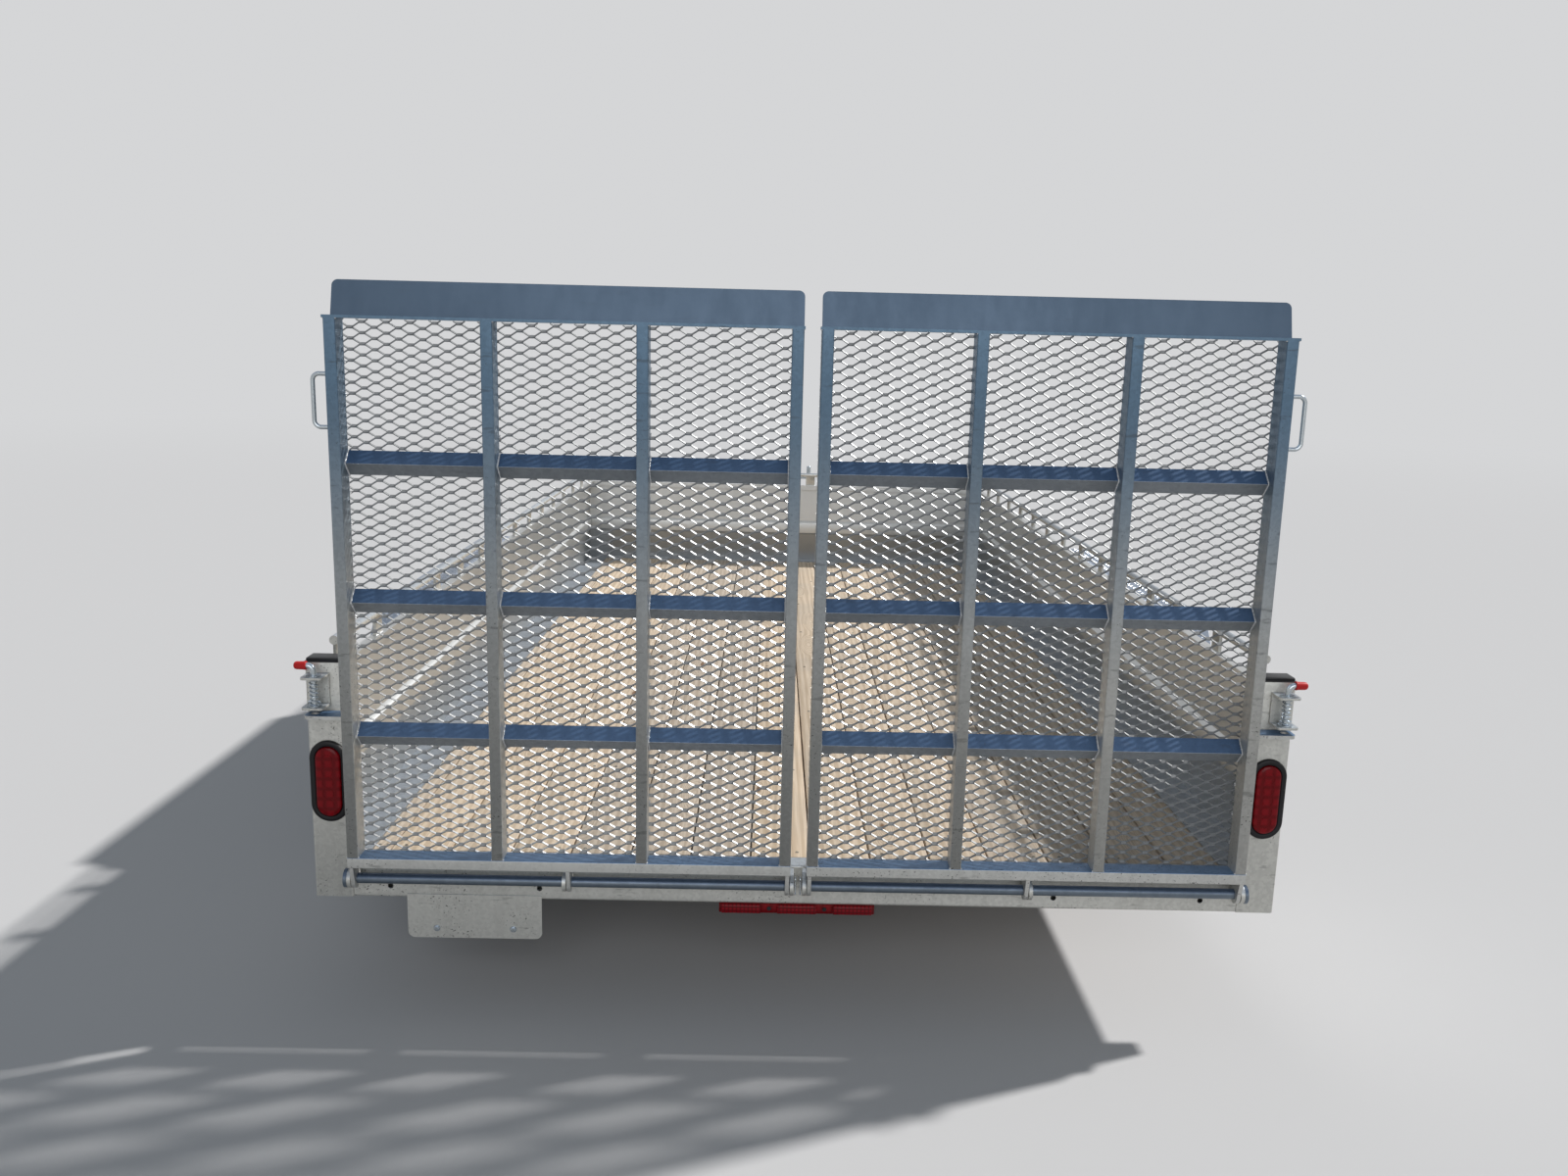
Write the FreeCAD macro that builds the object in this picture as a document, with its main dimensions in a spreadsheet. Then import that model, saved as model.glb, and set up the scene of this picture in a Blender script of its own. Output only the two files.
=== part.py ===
"""Galvanised tandem utility trailer with two ramp gates side by side, parked on its jack.

Millimetres, +Z up, +Y to the front (towing end), +X to the right seen from behind.
The origin lies on the ground, at the middle of the overall length and width.
"""
import FreeCAD
import Part
import math
import os
import re

import Sketcher
from FreeCAD import Placement, Rotation, Vector

SIZES = [
    # alias, value, what it measures
    ("deck_height", 390.0, "top of the boards above the ground"),
    ("bed_length", 4267.2, "rear sill to front wall, 14 ft"),
    ("bed_half", 1103.0, "centreline to the outer face of a side wall"),
    ("floor_ledge", 101.6, "width of the galvanised strip beside the boards"),
    ("ledge_thick", 3.2, "thickness of that strip"),
    ("rail_width", 50.8, "side rail, across"),
    ("rail_height", 97.0, "side rail, sills and their depth"),
    ("sill_depth", 50.8, "rear and front sill, fore and aft"),
    ("cross_count", 8.0, "cross members"),
    ("tube_wall", 4.0, "wall of the frame tubes"),
    ("tube_round", 6.0, "outer corner radius of the frame tubes"),
    ("drain_radius", 6.5, "drain hole in the back of the rear sill"),
    ("drain_inner", 600.0, "centreline to the inner drain holes"),
    ("drain_outer", 945.0, "centreline to the outer drain holes"),
    ("drain_rise", 28.0, "underside of the sill to the drain holes"),
    ("cross_size", 50.8, "square tube under the boards"),
    ("board_width", 139.7, "one 2x6 board"),
    ("board_thick", 38.0, "board thickness"),
    ("board_gap", 1.6, "gap between boards"),
    ("seam_offset", 31.0, "first seam right of the centreline"),
    ("wall_height", 430.0, "deck to the top of the walls"),
    ("sheet_thick", 2.5, "wall sheet"),
    ("hem_size", 25.4, "folded hem along the top of a wall"),
    ("rib_bottom", 147.0, "deck to the lower edge of the pressed rib"),
    ("rib_height", 80.0, "height of the pressed rib"),
    ("rib_depth", 12.0, "depth of the pressed rib"),
    ("tie_radius", 11.0, "tie rail pipe"),
    ("tie_height", 488.0, "deck to the middle of the tie rail"),
    ("tie_inset", 12.7, "wall outer face to the middle of the tie rail"),
    ("tie_start", 60.0, "rear post to the rear end of a side rail"),
    ("tie_end", 40.0, "front rail's line back to the front end of a side rail"),
    ("stub_width", 50.0, "flat stub that carries the tie rail, along the wall"),
    ("stub_thick", 8.0, "thickness of that stub"),
    ("stub_margin", 30.0, "end of the tie rail to the middle of its last stub"),
    ("stub_spacing", 300.0, "spacing of the stubs, at most"),
    ("post_inset", 73.0, "outer face of a wall in to the inner face of a rear post"),
    ("post_width", 88.9, "rear post, across"),
    ("post_depth", 50.8, "rear post, fore and aft"),
    ("post_height", 560.0, "rear post"),
    ("cap_height", 10.0, "plastic cap on a post"),
    ("cap_round", 3.0, "rounded upper edge of that cap"),
    ("lamp_rise", 185.0, "deck to the middle of a tail lamp"),
    ("lamp_length", 165.0, "tail lamp lens, upright oval"),
    ("lamp_width", 57.0, "tail lamp lens, across"),
    ("lamp_flange", 14.0, "rubber flange round the lens"),
    ("flange_thick", 9.0, "how far the flange stands out"),
    ("flange_round", 5.0, "rounding of the flange"),
    ("lens_stand", 14.0, "how far the lens stands out"),
    ("lens_round", 8.0, "rounding of the domed lens"),
    ("leaf_gap", 37.0, "gap between the two gates"),
    ("leaf_clear", 9.0, "outer end of a gate to the rear post"),
    ("gate_height", 1219.2, "gate frame, 48 in"),
    ("gate_gap", 13.0, "post face to the front of the gate bars"),
    ("bar_width", 25.4, "gate bar, across"),
    ("bar_depth", 50.8, "gate bar, fore and aft"),
    ("bar_wall", 3.0, "wall of the gate bars"),
    ("bar_round", 2.5, "outer corner radius of the gate bars"),
    ("top_plate", 6.0, "flat bar across the top of a gate"),
    ("top_inner", 2.0, "how far that flat bar passes the inner bar"),
    ("top_outer", 3.0, "how far that flat bar passes the outer bar"),
    ("lip_height", 76.0, "lip that meets the ground, along its slope"),
    ("lip_thick", 4.8, "lip plate"),
    ("lip_lean", 15.0, "lean of the lip, degrees"),
    ("lip_inset", 13.0, "outer end of the gate to the lip"),
    ("lip_round", 13.0, "corner radius of the lip"),
    ("lip_back", 10.0, "rear edge of the top bar to the lip"),
    ("angle_leg", 38.1, "leg of a cross angle"),
    ("angle_thick", 4.8, "thickness of a cross angle"),
    ("mesh_long", 50.8, "long way of one diamond of the mesh"),
    ("mesh_short", 23.4, "short way of one diamond of the mesh"),
    ("mesh_group", 3.0, "diamonds each way that one opening stands for"),
    ("mesh_strand", 10.0, "strand width at that grouping"),
    ("mesh_margin", 9.0, "uncut edge of the mesh, on the outer bars"),
    ("mesh_thick", 5.0, "thickness of the mesh over its raised strands"),
    ("hinge_back", 30.0, "sill face back to the hinge rod"),
    ("hinge_drop", 37.0, "deck down to the hinge rod"),
    ("hinge_radius", 12.0, "hinge rod"),
    ("hinge_slack", 0.1, "radial clearance of the rod in a gate lug"),
    ("lug_radius", 22.0, "rounded end of a hinge lug"),
    ("lug_thick", 9.5, "hinge lug plate"),
    ("lug_step", 1.5, "clearance between paired lugs"),
    ("lug_inset", 2.0, "end of a gate to its first lug"),
    ("lug_top", 6.0, "deck down to the arm of a frame lug"),
    ("rod_tail", 1.0, "hinge rod past its inner frame lug"),
    ("washer_radius", 22.0, "round head at the outer end of a rod"),
    ("washer_thick", 8.0, "thickness of that head"),
    ("handle_bottom", 986.0, "deck to the lower end of a gate handle"),
    ("handle_length", 122.0, "gate handle"),
    ("handle_reach", 40.0, "gate handle out from the bar"),
    ("handle_radius", 4.8, "gate handle rod"),
    ("handle_bend", 14.0, "bend of the handle rod"),
    ("tab_rise", 346.0, "deck to the underside of a latch tab"),
    ("tab_thick", 8.0, "latch tab"),
    ("tab_reach", 86.0, "latch tab outwards from the gate"),
    ("tab_depth", 46.0, "latch tab, fore and aft"),
    ("tab_hole", 8.5, "radius of the hole for the latch pin"),
    ("tab_round", 12.0, "outer corners of the latch tab"),
    ("latch_side", 58.0, "inner face of a post out to the latch pin"),
    ("latch_back", 32.0, "post face back to the latch pin"),
    ("latch_bottom", 366.0, "deck to the underside of the latch bracket"),
    ("latch_height", 74.0, "latch bracket"),
    ("latch_width", 49.0, "latch bracket, across"),
    ("latch_plate", 5.0, "plate of the latch bracket"),
    ("latch_lap", 20.5, "latch pin's line back to the edge of the bracket"),
    ("latch_round", 9.0, "rear corners of the bracket's plates"),
    ("pin_radius", 6.5, "latch pin"),
    ("pin_slack", 0.6, "radial clearance of the pin in its bracket"),
    ("pin_tip", 3.0, "pin's foot below the bracket"),
    ("pin_rise", 24.0, "bracket top to the middle of the pin's arm"),
    ("pin_bend", 13.0, "bend of the pin, on its middle line"),
    ("grip_start", 14.0, "pin's line out to the grip"),
    ("grip_radius", 10.0, "rubber grip"),
    ("grip_length", 28.0, "rubber grip"),
    ("grip_end", 6.0, "closed end of the grip past the pin"),
    ("grip_round", 4.0, "rounded end of the grip"),
    ("spring_radius", 10.5, "spring on the pin"),
    ("plate_left", 907.0, "centreline to the outer edge of the plate bracket"),
    ("plate_width", 312.0, "licence plate bracket"),
    ("plate_height", 108.0, "licence plate bracket"),
    ("plate_lap", 10.0, "how far it laps the rear sill"),
    ("plate_thick", 2.5, "plate bracket sheet"),
    ("plate_round", 16.0, "its lower corners"),
    ("plate_bolts", 178.0, "bolt spacing of the licence plate"),
    ("plate_bolt_rise", 24.0, "bolt line above the lower edge"),
    ("plate_bolt_radius", 3.6, "plate bolt hole"),
    ("bar_light_width", 364.0, "row of red marker lamps"),
    ("bar_light_height", 24.0, "row of red marker lamps"),
    ("bar_light_depth", 22.0, "row of red marker lamps"),
    ("bar_lens_width", 94.0, "one lens of that row"),
    ("bar_lens_stand", 7.0, "how far a lens stands out of its strip"),
    ("bar_lens_margin", 5.0, "end of the strip to the outer lens"),
    ("bar_lens_round", 4.0, "rounded edges of a lens"),
    ("axle_centre", 1880.0, "rear sill to the middle of the axle pair"),
    ("axle_spacing", 850.0, "axle to axle"),
    ("axle_tube", 76.2, "torsion axle beam"),
    ("beam_end", 4.0, "end of the beam past the side rail"),
    ("arm_length", 140.0, "beam forward of its spindle"),
    ("arm_thick", 26.0, "torsion arm"),
    ("arm_radius", 30.0, "torsion arm at the spindle"),
    ("spindle_radius", 20.0, "spindle"),
    ("spindle_slack", 0.1, "radial clearance of the hub"),
    ("tyre_radius", 340.0, "tyre, 15 in wheel"),
    ("tyre_width", 195.0, "tyre section"),
    ("tread_half", 66.0, "half the flat width of the tread"),
    ("shoulder_half", 88.0, "half width at the lower edge of the shoulders"),
    ("shoulder_drop", 18.0, "tread down to the lower edge of the shoulders"),
    ("bulge_rise", 80.0, "bead seat to the widest part of the tyre"),
    ("bead_slack", 2.0, "bead in from the rim flange"),
    ("tyre_gap", 10.0, "tyre to the wall and to the fender"),
    ("rim_radius", 190.5, "bead seat of the rim"),
    ("rim_width", 140.0, "between the rim flanges"),
    ("rim_flange", 14.0, "height of the rim flange"),
    ("rim_thick", 5.0, "rim and disc"),
    ("rim_dish", 30.0, "how far the spoke ring bulges outwards"),
    ("rim_fall", 22.0, "bead seat in to the outer foot of the spoke ring"),
    ("ring_outer", 44.0, "bead seat in to the outer edge of the spoke ring's crown"),
    ("ring_inner", 112.0, "hub's line to the inner edge of that crown"),
    ("face_radius", 90.0, "flat face under the wheel nuts"),
    ("face_stand", 14.0, "how far that face stands out"),
    ("window_count", 8.0, "openings in the wheel disc"),
    ("window_apex", 94.0, "hub's line to the narrow end of an opening"),
    ("window_base", 162.0, "hub's line to the wide end of an opening"),
    ("window_half", 34.0, "half the wide end of an opening"),
    ("window_round", 9.0, "corner radius of an opening"),
    ("hub_radius", 55.0, "hub barrel"),
    ("hub_gap", 12.0, "drum's outer face behind the rim's middle plane"),
    ("hub_cap_radius", 32.0, "dust cap"),
    ("hub_cap_stand", 34.0, "dust cap out from the rim's middle plane past the dish"),
    ("hub_cap_chamfer", 6.0, "chamfer of the dust cap"),
    ("spindle_end", 9.0, "closed end of the hub's bore behind the middle plane"),
    ("drum_radius", 128.0, "brake drum"),
    ("drum_width", 52.0, "brake drum"),
    ("drum_lip", 8.0, "backing plate behind the drum"),
    ("fender_top", 745.0, "ground to the top of a fender"),
    ("fender_flat", 740.0, "half the flat top of a fender"),
    ("fender_run", 200.0, "fore and aft run of a sloping end"),
    ("fender_drop", 235.0, "drop of a sloping end"),
    ("fender_skirt", 52.0, "outer skirt below the top"),
    ("fender_end", 45.0, "upright end below each slope"),
    ("fender_thick", 3.0, "fender plate"),
    ("tongue_length", 1280.0, "front sill to the tip of the coupler"),
    ("tongue_spread", 560.0, "centreline to the outer face of an arm at the sill"),
    ("tongue_width", 50.8, "tongue arm, across"),
    ("tongue_nose", 40.0, "half width across the arms at the coupler"),
    ("coupler_length", 330.0, "coupler"),
    ("coupler_width", 88.0, "coupler across its socket"),
    ("coupler_height", 76.0, "coupler over the arms"),
    ("coupler_wall", 5.0, "coupler shell"),
    ("coupler_throat", 68.0, "coupler's channel, across"),
    ("coupler_crown", 60.0, "top of the coupler's shell over the arms"),
    ("coupler_round", 16.0, "rounding of the channel's upper edges"),
    ("dome_round", 24.0, "rounding over the ball"),
    ("coupler_foot", 150.0, "length of the foot that is welded to the arms"),
    ("coupler_foot_width", 112.0, "that foot, across"),
    ("arm_lap", 110.0, "how far the coupler laps the arms"),
    ("lever_width", 18.0, "coupler lever"),
    ("lever_thick", 12.0, "coupler lever"),
    ("lever_back", 60.0, "rear end of the coupler to the lever"),
    ("lever_round", 4.0, "rounded edges of the lever"),
    ("ball_radius", 25.4, "hitch ball, 2 in"),
    ("ball_slack", 0.8, "radial clearance on the ball"),
    ("gusset_length", 260.0, "plate across the arms behind the coupler"),
    ("gusset_thick", 8.0, "that plate"),
    ("gusset_slack", 0.5, "radial clearance of the jack's tube in that plate"),
    ("jack_back", 520.0, "tip of the coupler back to the jack"),
    ("jack_radius", 28.6, "jack outer tube"),
    ("jack_slack", 0.3, "radial clearance of the leg in its tube"),
    ("jack_wall", 3.4, "jack tubes"),
    ("jack_top", 760.0, "ground to the top of the jack"),
    ("jack_bottom", 230.0, "ground to the lower end of the outer tube"),
    ("jack_travel", 200.0, "how far the leg winds up"),
    ("foot_size", 120.0, "jack foot plate, square"),
    ("foot_thick", 6.0, "jack foot plate"),
    ("collar_half_width", 75.0, "jack's flange, half its width"),
    ("collar_half_depth", 55.0, "jack's flange, half its depth"),
    ("collar_thick", 8.0, "jack's flange"),
    ("collar_round", 20.0, "corners of the jack's flange"),
    ("crank_reach", 170.0, "jack crank"),
    ("crank_rise", 20.0, "top of the jack to the crank's bar"),
    ("crank_bar", 20.0, "width of the crank's bar"),
    ("crank_thick", 8.0, "thickness of the crank's bar"),
    ("shaft_radius", 8.0, "crank's shaft"),
    ("knob_radius", 13.0, "crank's knob"),
    ("knob_height", 78.0, "crank's knob"),
    ("knob_inset", 14.0, "end of the bar to the knob"),
    ("knob_round", 5.0, "rounded end of the knob"),
    ("leg_reach", 30.0, "top of the wound-up leg below the top of the jack"),
    ("jack_lid", 20.0, "solid top of the jack's tube"),
]

doc = FreeCAD.newDocument("utility_trailer")
sheet = doc.addObject("Spreadsheet::Sheet", "sizes")
for row, (alias, value, note) in enumerate(SIZES, start=1):
    sheet.set(f"A{row}", alias)
    sheet.set(f"B{row}", str(value))
    sheet.set(f"C{row}", note)
    sheet.setAlias(f"B{row}", alias)
doc.recompute()

ALIASES = {alias for alias, _, _ in SIZES}
NODES = []

REAR = "(-(bed_length + tongue_length - gate_gap - bar_depth) / 2)"
FRONT = f"({REAR} + bed_length)"
RAIL_BOTTOM = "(deck_height - rail_height)"
DECK_HALF = "(bed_half - floor_ledge)"
POST_INNER = "(bed_half - post_inset)"
POST_OUTER = f"({POST_INNER} + post_width)"
GATE_FRONT = f"({REAR} - gate_gap)"
GATE_REAR = f"({REAR} - gate_gap - bar_depth)"
GATE_TOP = "(deck_height + gate_height)"
HINGE_Y = f"({REAR} - hinge_back)"
HINGE_Z = "(deck_height - hinge_drop)"
LEAF_INNER = "(leaf_gap / 2)"
LEAF_OUTER = f"({POST_INNER} - leaf_clear)"
WHEEL_X = "(bed_half + tyre_gap + tyre_width / 2)"
FENDER_OUTER = "(bed_half + 2 * tyre_gap + tyre_width + fender_thick)"
NOSE = f"({FRONT} + tongue_length)"
JACK_Y = f"({NOSE} - jack_back)"
SOCKET_LENGTH = "(coupler_height * 0.55)"
SOCKET_Z = f"(deck_height + {SOCKET_LENGTH} / 2)"
BALL_Y = f"({NOSE} - coupler_width / 2)"
TIE_LINE = "(bed_half - tie_inset)"
TIE_LEVEL = "(deck_height + tie_height)"
ARM_END = f"({NOSE} - coupler_length + arm_lap)"
PIN_X = f"({POST_INNER} + latch_side)"
PIN_Y = f"({REAR} - latch_back)"
LATCH_LOW = "(deck_height + latch_bottom)"
LATCH_TOP = f"({LATCH_LOW} + latch_height)"
SPOKE_FOOT = "(rim_radius - rim_fall)"
SPOKE_CROWN = "(rim_radius - ring_outer)"
DRUM_BACK = "(hub_gap + drum_width)"

# how closely an edge's place is told from its neighbours'
NEAR = 0.01


def bound(text):
    """The expression with each alias read from the sheet."""
    return re.sub(r"[A-Za-z_]\w*",
                  lambda found: f"sizes.{found.group()}" if found.group() in ALIASES else found.group(),
                  str(text))


def worth(text):
    """The value of an expression, for shapes that code works out."""
    values = {alias: float(sheet.get(alias)) for alias in re.findall(r"[A-Za-z_]\w*", str(text))}
    return FreeCAD.Units.Quantity(
        re.sub(r"[A-Za-z_]\w*", lambda found: f"({values[found.group()]!r})", str(text))).Value


def box(name, x, y, z):
    """A block between a low and a high corner, each axis a pair of expressions."""
    block = doc.addObject("Part::Box", name)
    for side, axis, (low, high) in zip(("Length", "Width", "Height"), "xyz", (x, y, z)):
        block.setExpression(side, bound(f"({high}) - ({low})"))
        block.setExpression(f"Placement.Base.{axis}", bound(low))
    return block


def cut(name, body, tool):
    """The body less the tool."""
    result = doc.addObject("Part::Cut", name)
    result.Base = body
    result.Tool = tool
    return result


def fuse(name, pieces):
    """The pieces welded into one solid."""
    result = doc.addObject("Part::MultiFuse", name)
    result.Shapes = pieces
    result.Refine = True
    return result


def lies_along(edge, axis):
    """Whether an edge is straight and runs along an axis."""
    box_of = edge.BoundBox
    spans = {"x": box_of.XLength, "y": box_of.YLength, "z": box_of.ZLength}
    return all(span < 0.01 for other, span in spans.items() if other != axis)


def eased(name, source, radius, chosen):
    """The piece with the edges that a test picks rounded."""
    doc.recompute()
    fillet = doc.addObject("Part::Fillet", name)
    fillet.Base = source
    size = worth(radius)
    fillet.Edges = [(number, size, size) for number, edge in enumerate(source.Shape.Edges, start=1)
                    if chosen(edge)]
    return fillet


def tube(name, x, y, z, wall, along, rounding, plug="-1"):
    """A rectangular tube with rounded corners, open at both ends, or with its high end plugged."""
    outer = eased(f"{name}_outer", box(f"{name}_block", x, y, z), rounding,
                  lambda edge: lies_along(edge, along))
    inner = []
    for axis, (low, high) in zip("xyz", (x, y, z)):
        if axis == along:
            inner.append((f"({low}) - 1", f"({high}) - ({plug})"))
        else:
            inner.append((f"({low}) + {wall}", f"({high}) - {wall}"))
    return cut(name, outer, box(f"{name}_inner", *inner))


def rod(name, base, axis, radius, length):
    """A round bar from a base point along +X, +Y or +Z."""
    bar = doc.addObject("Part::Cylinder", name)
    turns = {"x": Rotation(Vector(0, 1, 0), 90), "y": Rotation(Vector(1, 0, 0), -90), "z": Rotation()}
    bar.Placement = Placement(Vector(), turns[axis])
    bar.setExpression("Radius", bound(radius))
    bar.setExpression("Height", bound(length))
    for side, place in zip("xyz", base):
        bar.setExpression(f"Placement.Base.{side}", bound(place))
    return bar


def mirrored(name, source):
    """The same piece on the other side of the trailer's middle plane."""
    copy = doc.addObject("Part::Mirroring", name)
    copy.Source = source
    copy.Normal = Vector(1, 0, 0)
    return copy


def origin_part(body, role):
    """One of a body's own origin planes or axes."""
    return next(feature for feature in body.Origin.OriginFeatures if feature.Role == role)


def new_sketch(body, name, role):
    """An empty sketch on one of a body's origin planes."""
    sketch = body.newObject("Sketcher::SketchObject", name)
    sketch.AttachmentSupport = [(origin_part(body, role), "")]
    sketch.MapMode = "FlatFace"
    return sketch


def sized(sketch, kind, *rest):
    """Adds a dimension to a sketch, its last argument an expression on the sheet."""
    *ends, text = rest
    number = sketch.addConstraint(Sketcher.Constraint(kind, *ends, worth(text)))
    sketch.setExpression(f"Constraints[{number}]", bound(text))


def held_at(sketch, line, end, across, up):
    """Holds the end of a line at two expressions from the sketch's origin."""
    for kind, text, axis in (("DistanceX", across, -2), ("DistanceY", up, -1)):
        if text == "0":
            sketch.addConstraint(Sketcher.Constraint("PointOnObject", line, end, axis))
        else:
            sized(sketch, kind, -1, 1, line, end, text)


def outline(body, name, role, corners):
    """A closed outline of straight sides, each corner a pair of expressions."""
    sketch = new_sketch(body, name, role)
    places = [Vector(worth(across), worth(up), 0) for across, up in corners]
    after = [*range(1, len(corners)), 0]
    for first, second in enumerate(after):
        sketch.addGeometry(Part.LineSegment(places[first], places[second]), False)
    for first, second in enumerate(after):
        sketch.addConstraint(Sketcher.Constraint("Coincident", first, 2, second, 1))
    for line, (across, up) in enumerate(corners):
        held_at(sketch, line, 1, across, up)
    return sketch


def belt(body, name, role, centres, radius):
    """An outline pulled tight round equal circles, anticlockwise from the first."""
    sketch = new_sketch(body, name, role)
    size = worth(radius)
    middles = [Vector(worth(across), worth(up), 0) for across, up in centres]
    count = len(middles)
    outward = []
    for first in range(count):
        along = (middles[(first + 1) % count] - middles[first]).normalize()
        outward.append(Vector(along.y, -along.x, 0))
    for first in range(count):
        second = (first + 1) % count
        start, end = (math.atan2(side.y, side.x) for side in (outward[first - 1], outward[first]))
        corner = Part.Circle(middles[first], Vector(0, 0, 1), size)
        sketch.addGeometry(Part.ArcOfCircle(corner, start, end if end > start else end + 2 * math.pi), False)
        shift = outward[first] * size
        sketch.addGeometry(Part.LineSegment(middles[first] + shift, middles[second] + shift), False)
    for first in range(2 * count):
        sketch.addConstraint(Sketcher.Constraint("Tangent", first, 2, (first + 1) % (2 * count), 1))
    for first, centre in enumerate(centres):
        held_at(sketch, 2 * first, 3, *centre)
        if first:
            sketch.addConstraint(Sketcher.Constraint("Equal", 0, 2 * first))
    sized(sketch, "Radius", 0, radius)
    return sketch


def oval(body, name, length, width):
    """An upright oval on the body's XZ plane, centred on its origin."""
    rise = f"(({length}) - ({width})) / 2"
    return belt(body, name, "XZ_Plane", [("0", f"-({rise})"), ("0", rise)], f"({width}) / 2")


def circle(body, name, role, centre, radius):
    """A circle on one of a body's origin planes, its centre a pair of expressions."""
    sketch = new_sketch(body, name, role)
    middle = Vector(worth(centre[0]), worth(centre[1]), 0)
    sketch.addGeometry(Part.Circle(middle, Vector(0, 0, 1), worth(radius)), False)
    held_at(sketch, 0, 3, *centre)
    sized(sketch, "Radius", 0, radius)
    return sketch


def padded(body, name, sketch, length, backwards=False, centred=False):
    """A pad of a sketch, along its plane's normal, against it or both ways."""
    pad = body.newObject("PartDesign::Pad", name)
    pad.Profile = sketch
    pad.setExpression("Length", bound(length))
    pad.Reversed = backwards
    pad.Midplane = centred
    return pad


def holed(body, name, sketch):
    """A pocket of a sketch right through the body, both ways."""
    pocket = body.newObject("PartDesign::Pocket", name)
    pocket.Profile = sketch
    pocket.Type = "ThroughAll"
    pocket.Midplane = True
    return pocket


def turned(body, name, corners):
    """A closed (x, radius) outline turned about the body's X axis."""
    revolution = body.newObject("PartDesign::Revolution", name)
    sketch = outline(body, f"{name}_outline", "XZ_Plane", corners)
    revolution.Profile = sketch
    revolution.ReferenceAxis = (sketch, ["H_Axis"])
    revolution.Angle = 360
    return revolution


def rounded(body, name, feature, radius, chosen):
    """Rounds the edges of a body's feature that a test picks."""
    doc.recompute()
    fillet = body.newObject("PartDesign::Fillet", name)
    picked = [f"Edge{number}" for number, edge in enumerate(feature.Shape.Edges, start=1) if chosen(edge)]
    fillet.Base = (feature, picked)
    fillet.setExpression("Radius", bound(radius))
    body.Tip = fillet
    return fillet


def piped(body, name, section, path):
    """A section swept along a path."""
    pipe = body.newObject("PartDesign::AdditivePipe", name)
    pipe.Profile = section
    pipe.Spine = path
    return pipe


def stands_at(body, x, y, z):
    """Puts a body's origin at three expressions."""
    for axis, text in zip("xyz", (x, y, z)):
        body.setExpression(f"Placement.Base.{axis}", bound(text))


def coded(name, shape):
    """A piece whose shape is worked out in code from the sheet's sizes."""
    piece = doc.addObject("Part::Feature", name)
    placement = shape.Placement
    piece.Shape = shape
    piece.Placement = placement
    return piece


def node(label, pieces):
    """One named sub-part: a single piece, or like pieces that don't touch."""
    if len(pieces) == 1:
        part = pieces[0]
    else:
        part = doc.addObject("Part::Compound", f"{label}_set")
        part.Links = pieces
    part.Label = label
    NODES.append(part)
    return part


def prism(points, direction):
    """A polygon of 3-D points swept along a vector."""
    loop = Part.makePolygon([Vector(*point) for point in points + points[:1]])
    return Part.Face(loop).extrude(Vector(*direction))


def frame_parts():
    """Side rails, sills, cross members and the strip beside the boards."""
    run = (f"{REAR} + sill_depth", FRONT)
    height = (RAIL_BOTTOM, "deck_height - ledge_thick")
    rail = tube("rail_tube_right", (DECK_HALF, f"{DECK_HALF} + rail_width"), run, height, "tube_wall", "y",
                "tube_round", plug="tube_wall")
    ledge = box("ledge_right", (DECK_HALF, "bed_half"), run, ("deck_height - ledge_thick", "deck_height"))
    right = fuse("rail_right", [rail, ledge])
    node("side_rails", [right, mirrored("rail_left", right)])
    span = (f"-{DECK_HALF}", DECK_HALF)
    node("front_sill", [tube("front_sill", span, (f"{FRONT} - sill_depth", FRONT),
                             (RAIL_BOTTOM, "deck_height"), "tube_wall", "x", "tube_round")])
    sill = tube("rear_sill_tube", (f"-{POST_INNER}", POST_INNER), (REAR, f"{REAR} + sill_depth"),
                (RAIL_BOTTOM, "deck_height"), "tube_wall", "x", "tube_round")
    drains = []
    for place in ("drain_outer", "drain_inner", "-drain_inner", "-drain_outer"):
        drains.append(rod(f"drain_{len(drains)}", (place, f"{REAR} - 1", f"{RAIL_BOTTOM} + drain_rise"), "y",
                          "drain_radius", "tube_wall + 2"))
    node("rear_sill", [cut("rear_sill", sill, fuse("drains", drains))])
    first = f"({REAR} + sill_depth)"
    last = f"({FRONT} - sill_depth - cross_size)"
    count = int(worth("cross_count"))
    members = []
    for index in range(count):
        start = f"({first} + {index} * ({last} - {first}) / {count - 1})"
        members.append(tube(f"cross_member_{index}", span, (start, f"{start} + cross_size"),
                            ("deck_height - board_thick - cross_size", "deck_height - board_thick"),
                            "tube_wall", "x", "bar_round"))
    node("cross_members", members)


def deck():
    """Boards laid lengthwise, the outer two ripped to fit."""
    half = worth(DECK_HALF)
    pitch = worth("board_width + board_gap")
    lowest = math.floor((-half - worth("seam_offset")) / pitch)
    highest = math.ceil((half - worth("seam_offset")) / pitch)
    boards = []
    for index in range(lowest, highest):
        left = f"max(-{DECK_HALF}; seam_offset + ({index}) * (board_width + board_gap))"
        right = f"min({DECK_HALF}; seam_offset + ({index}) * (board_width + board_gap) + board_width)"
        boards.append(box(f"board_{index - lowest}", (left, right),
                          (f"{REAR} + sill_depth", f"{FRONT} - sill_depth"),
                          ("deck_height - board_thick", "deck_height")))
    node("deck_boards", boards)


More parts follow.
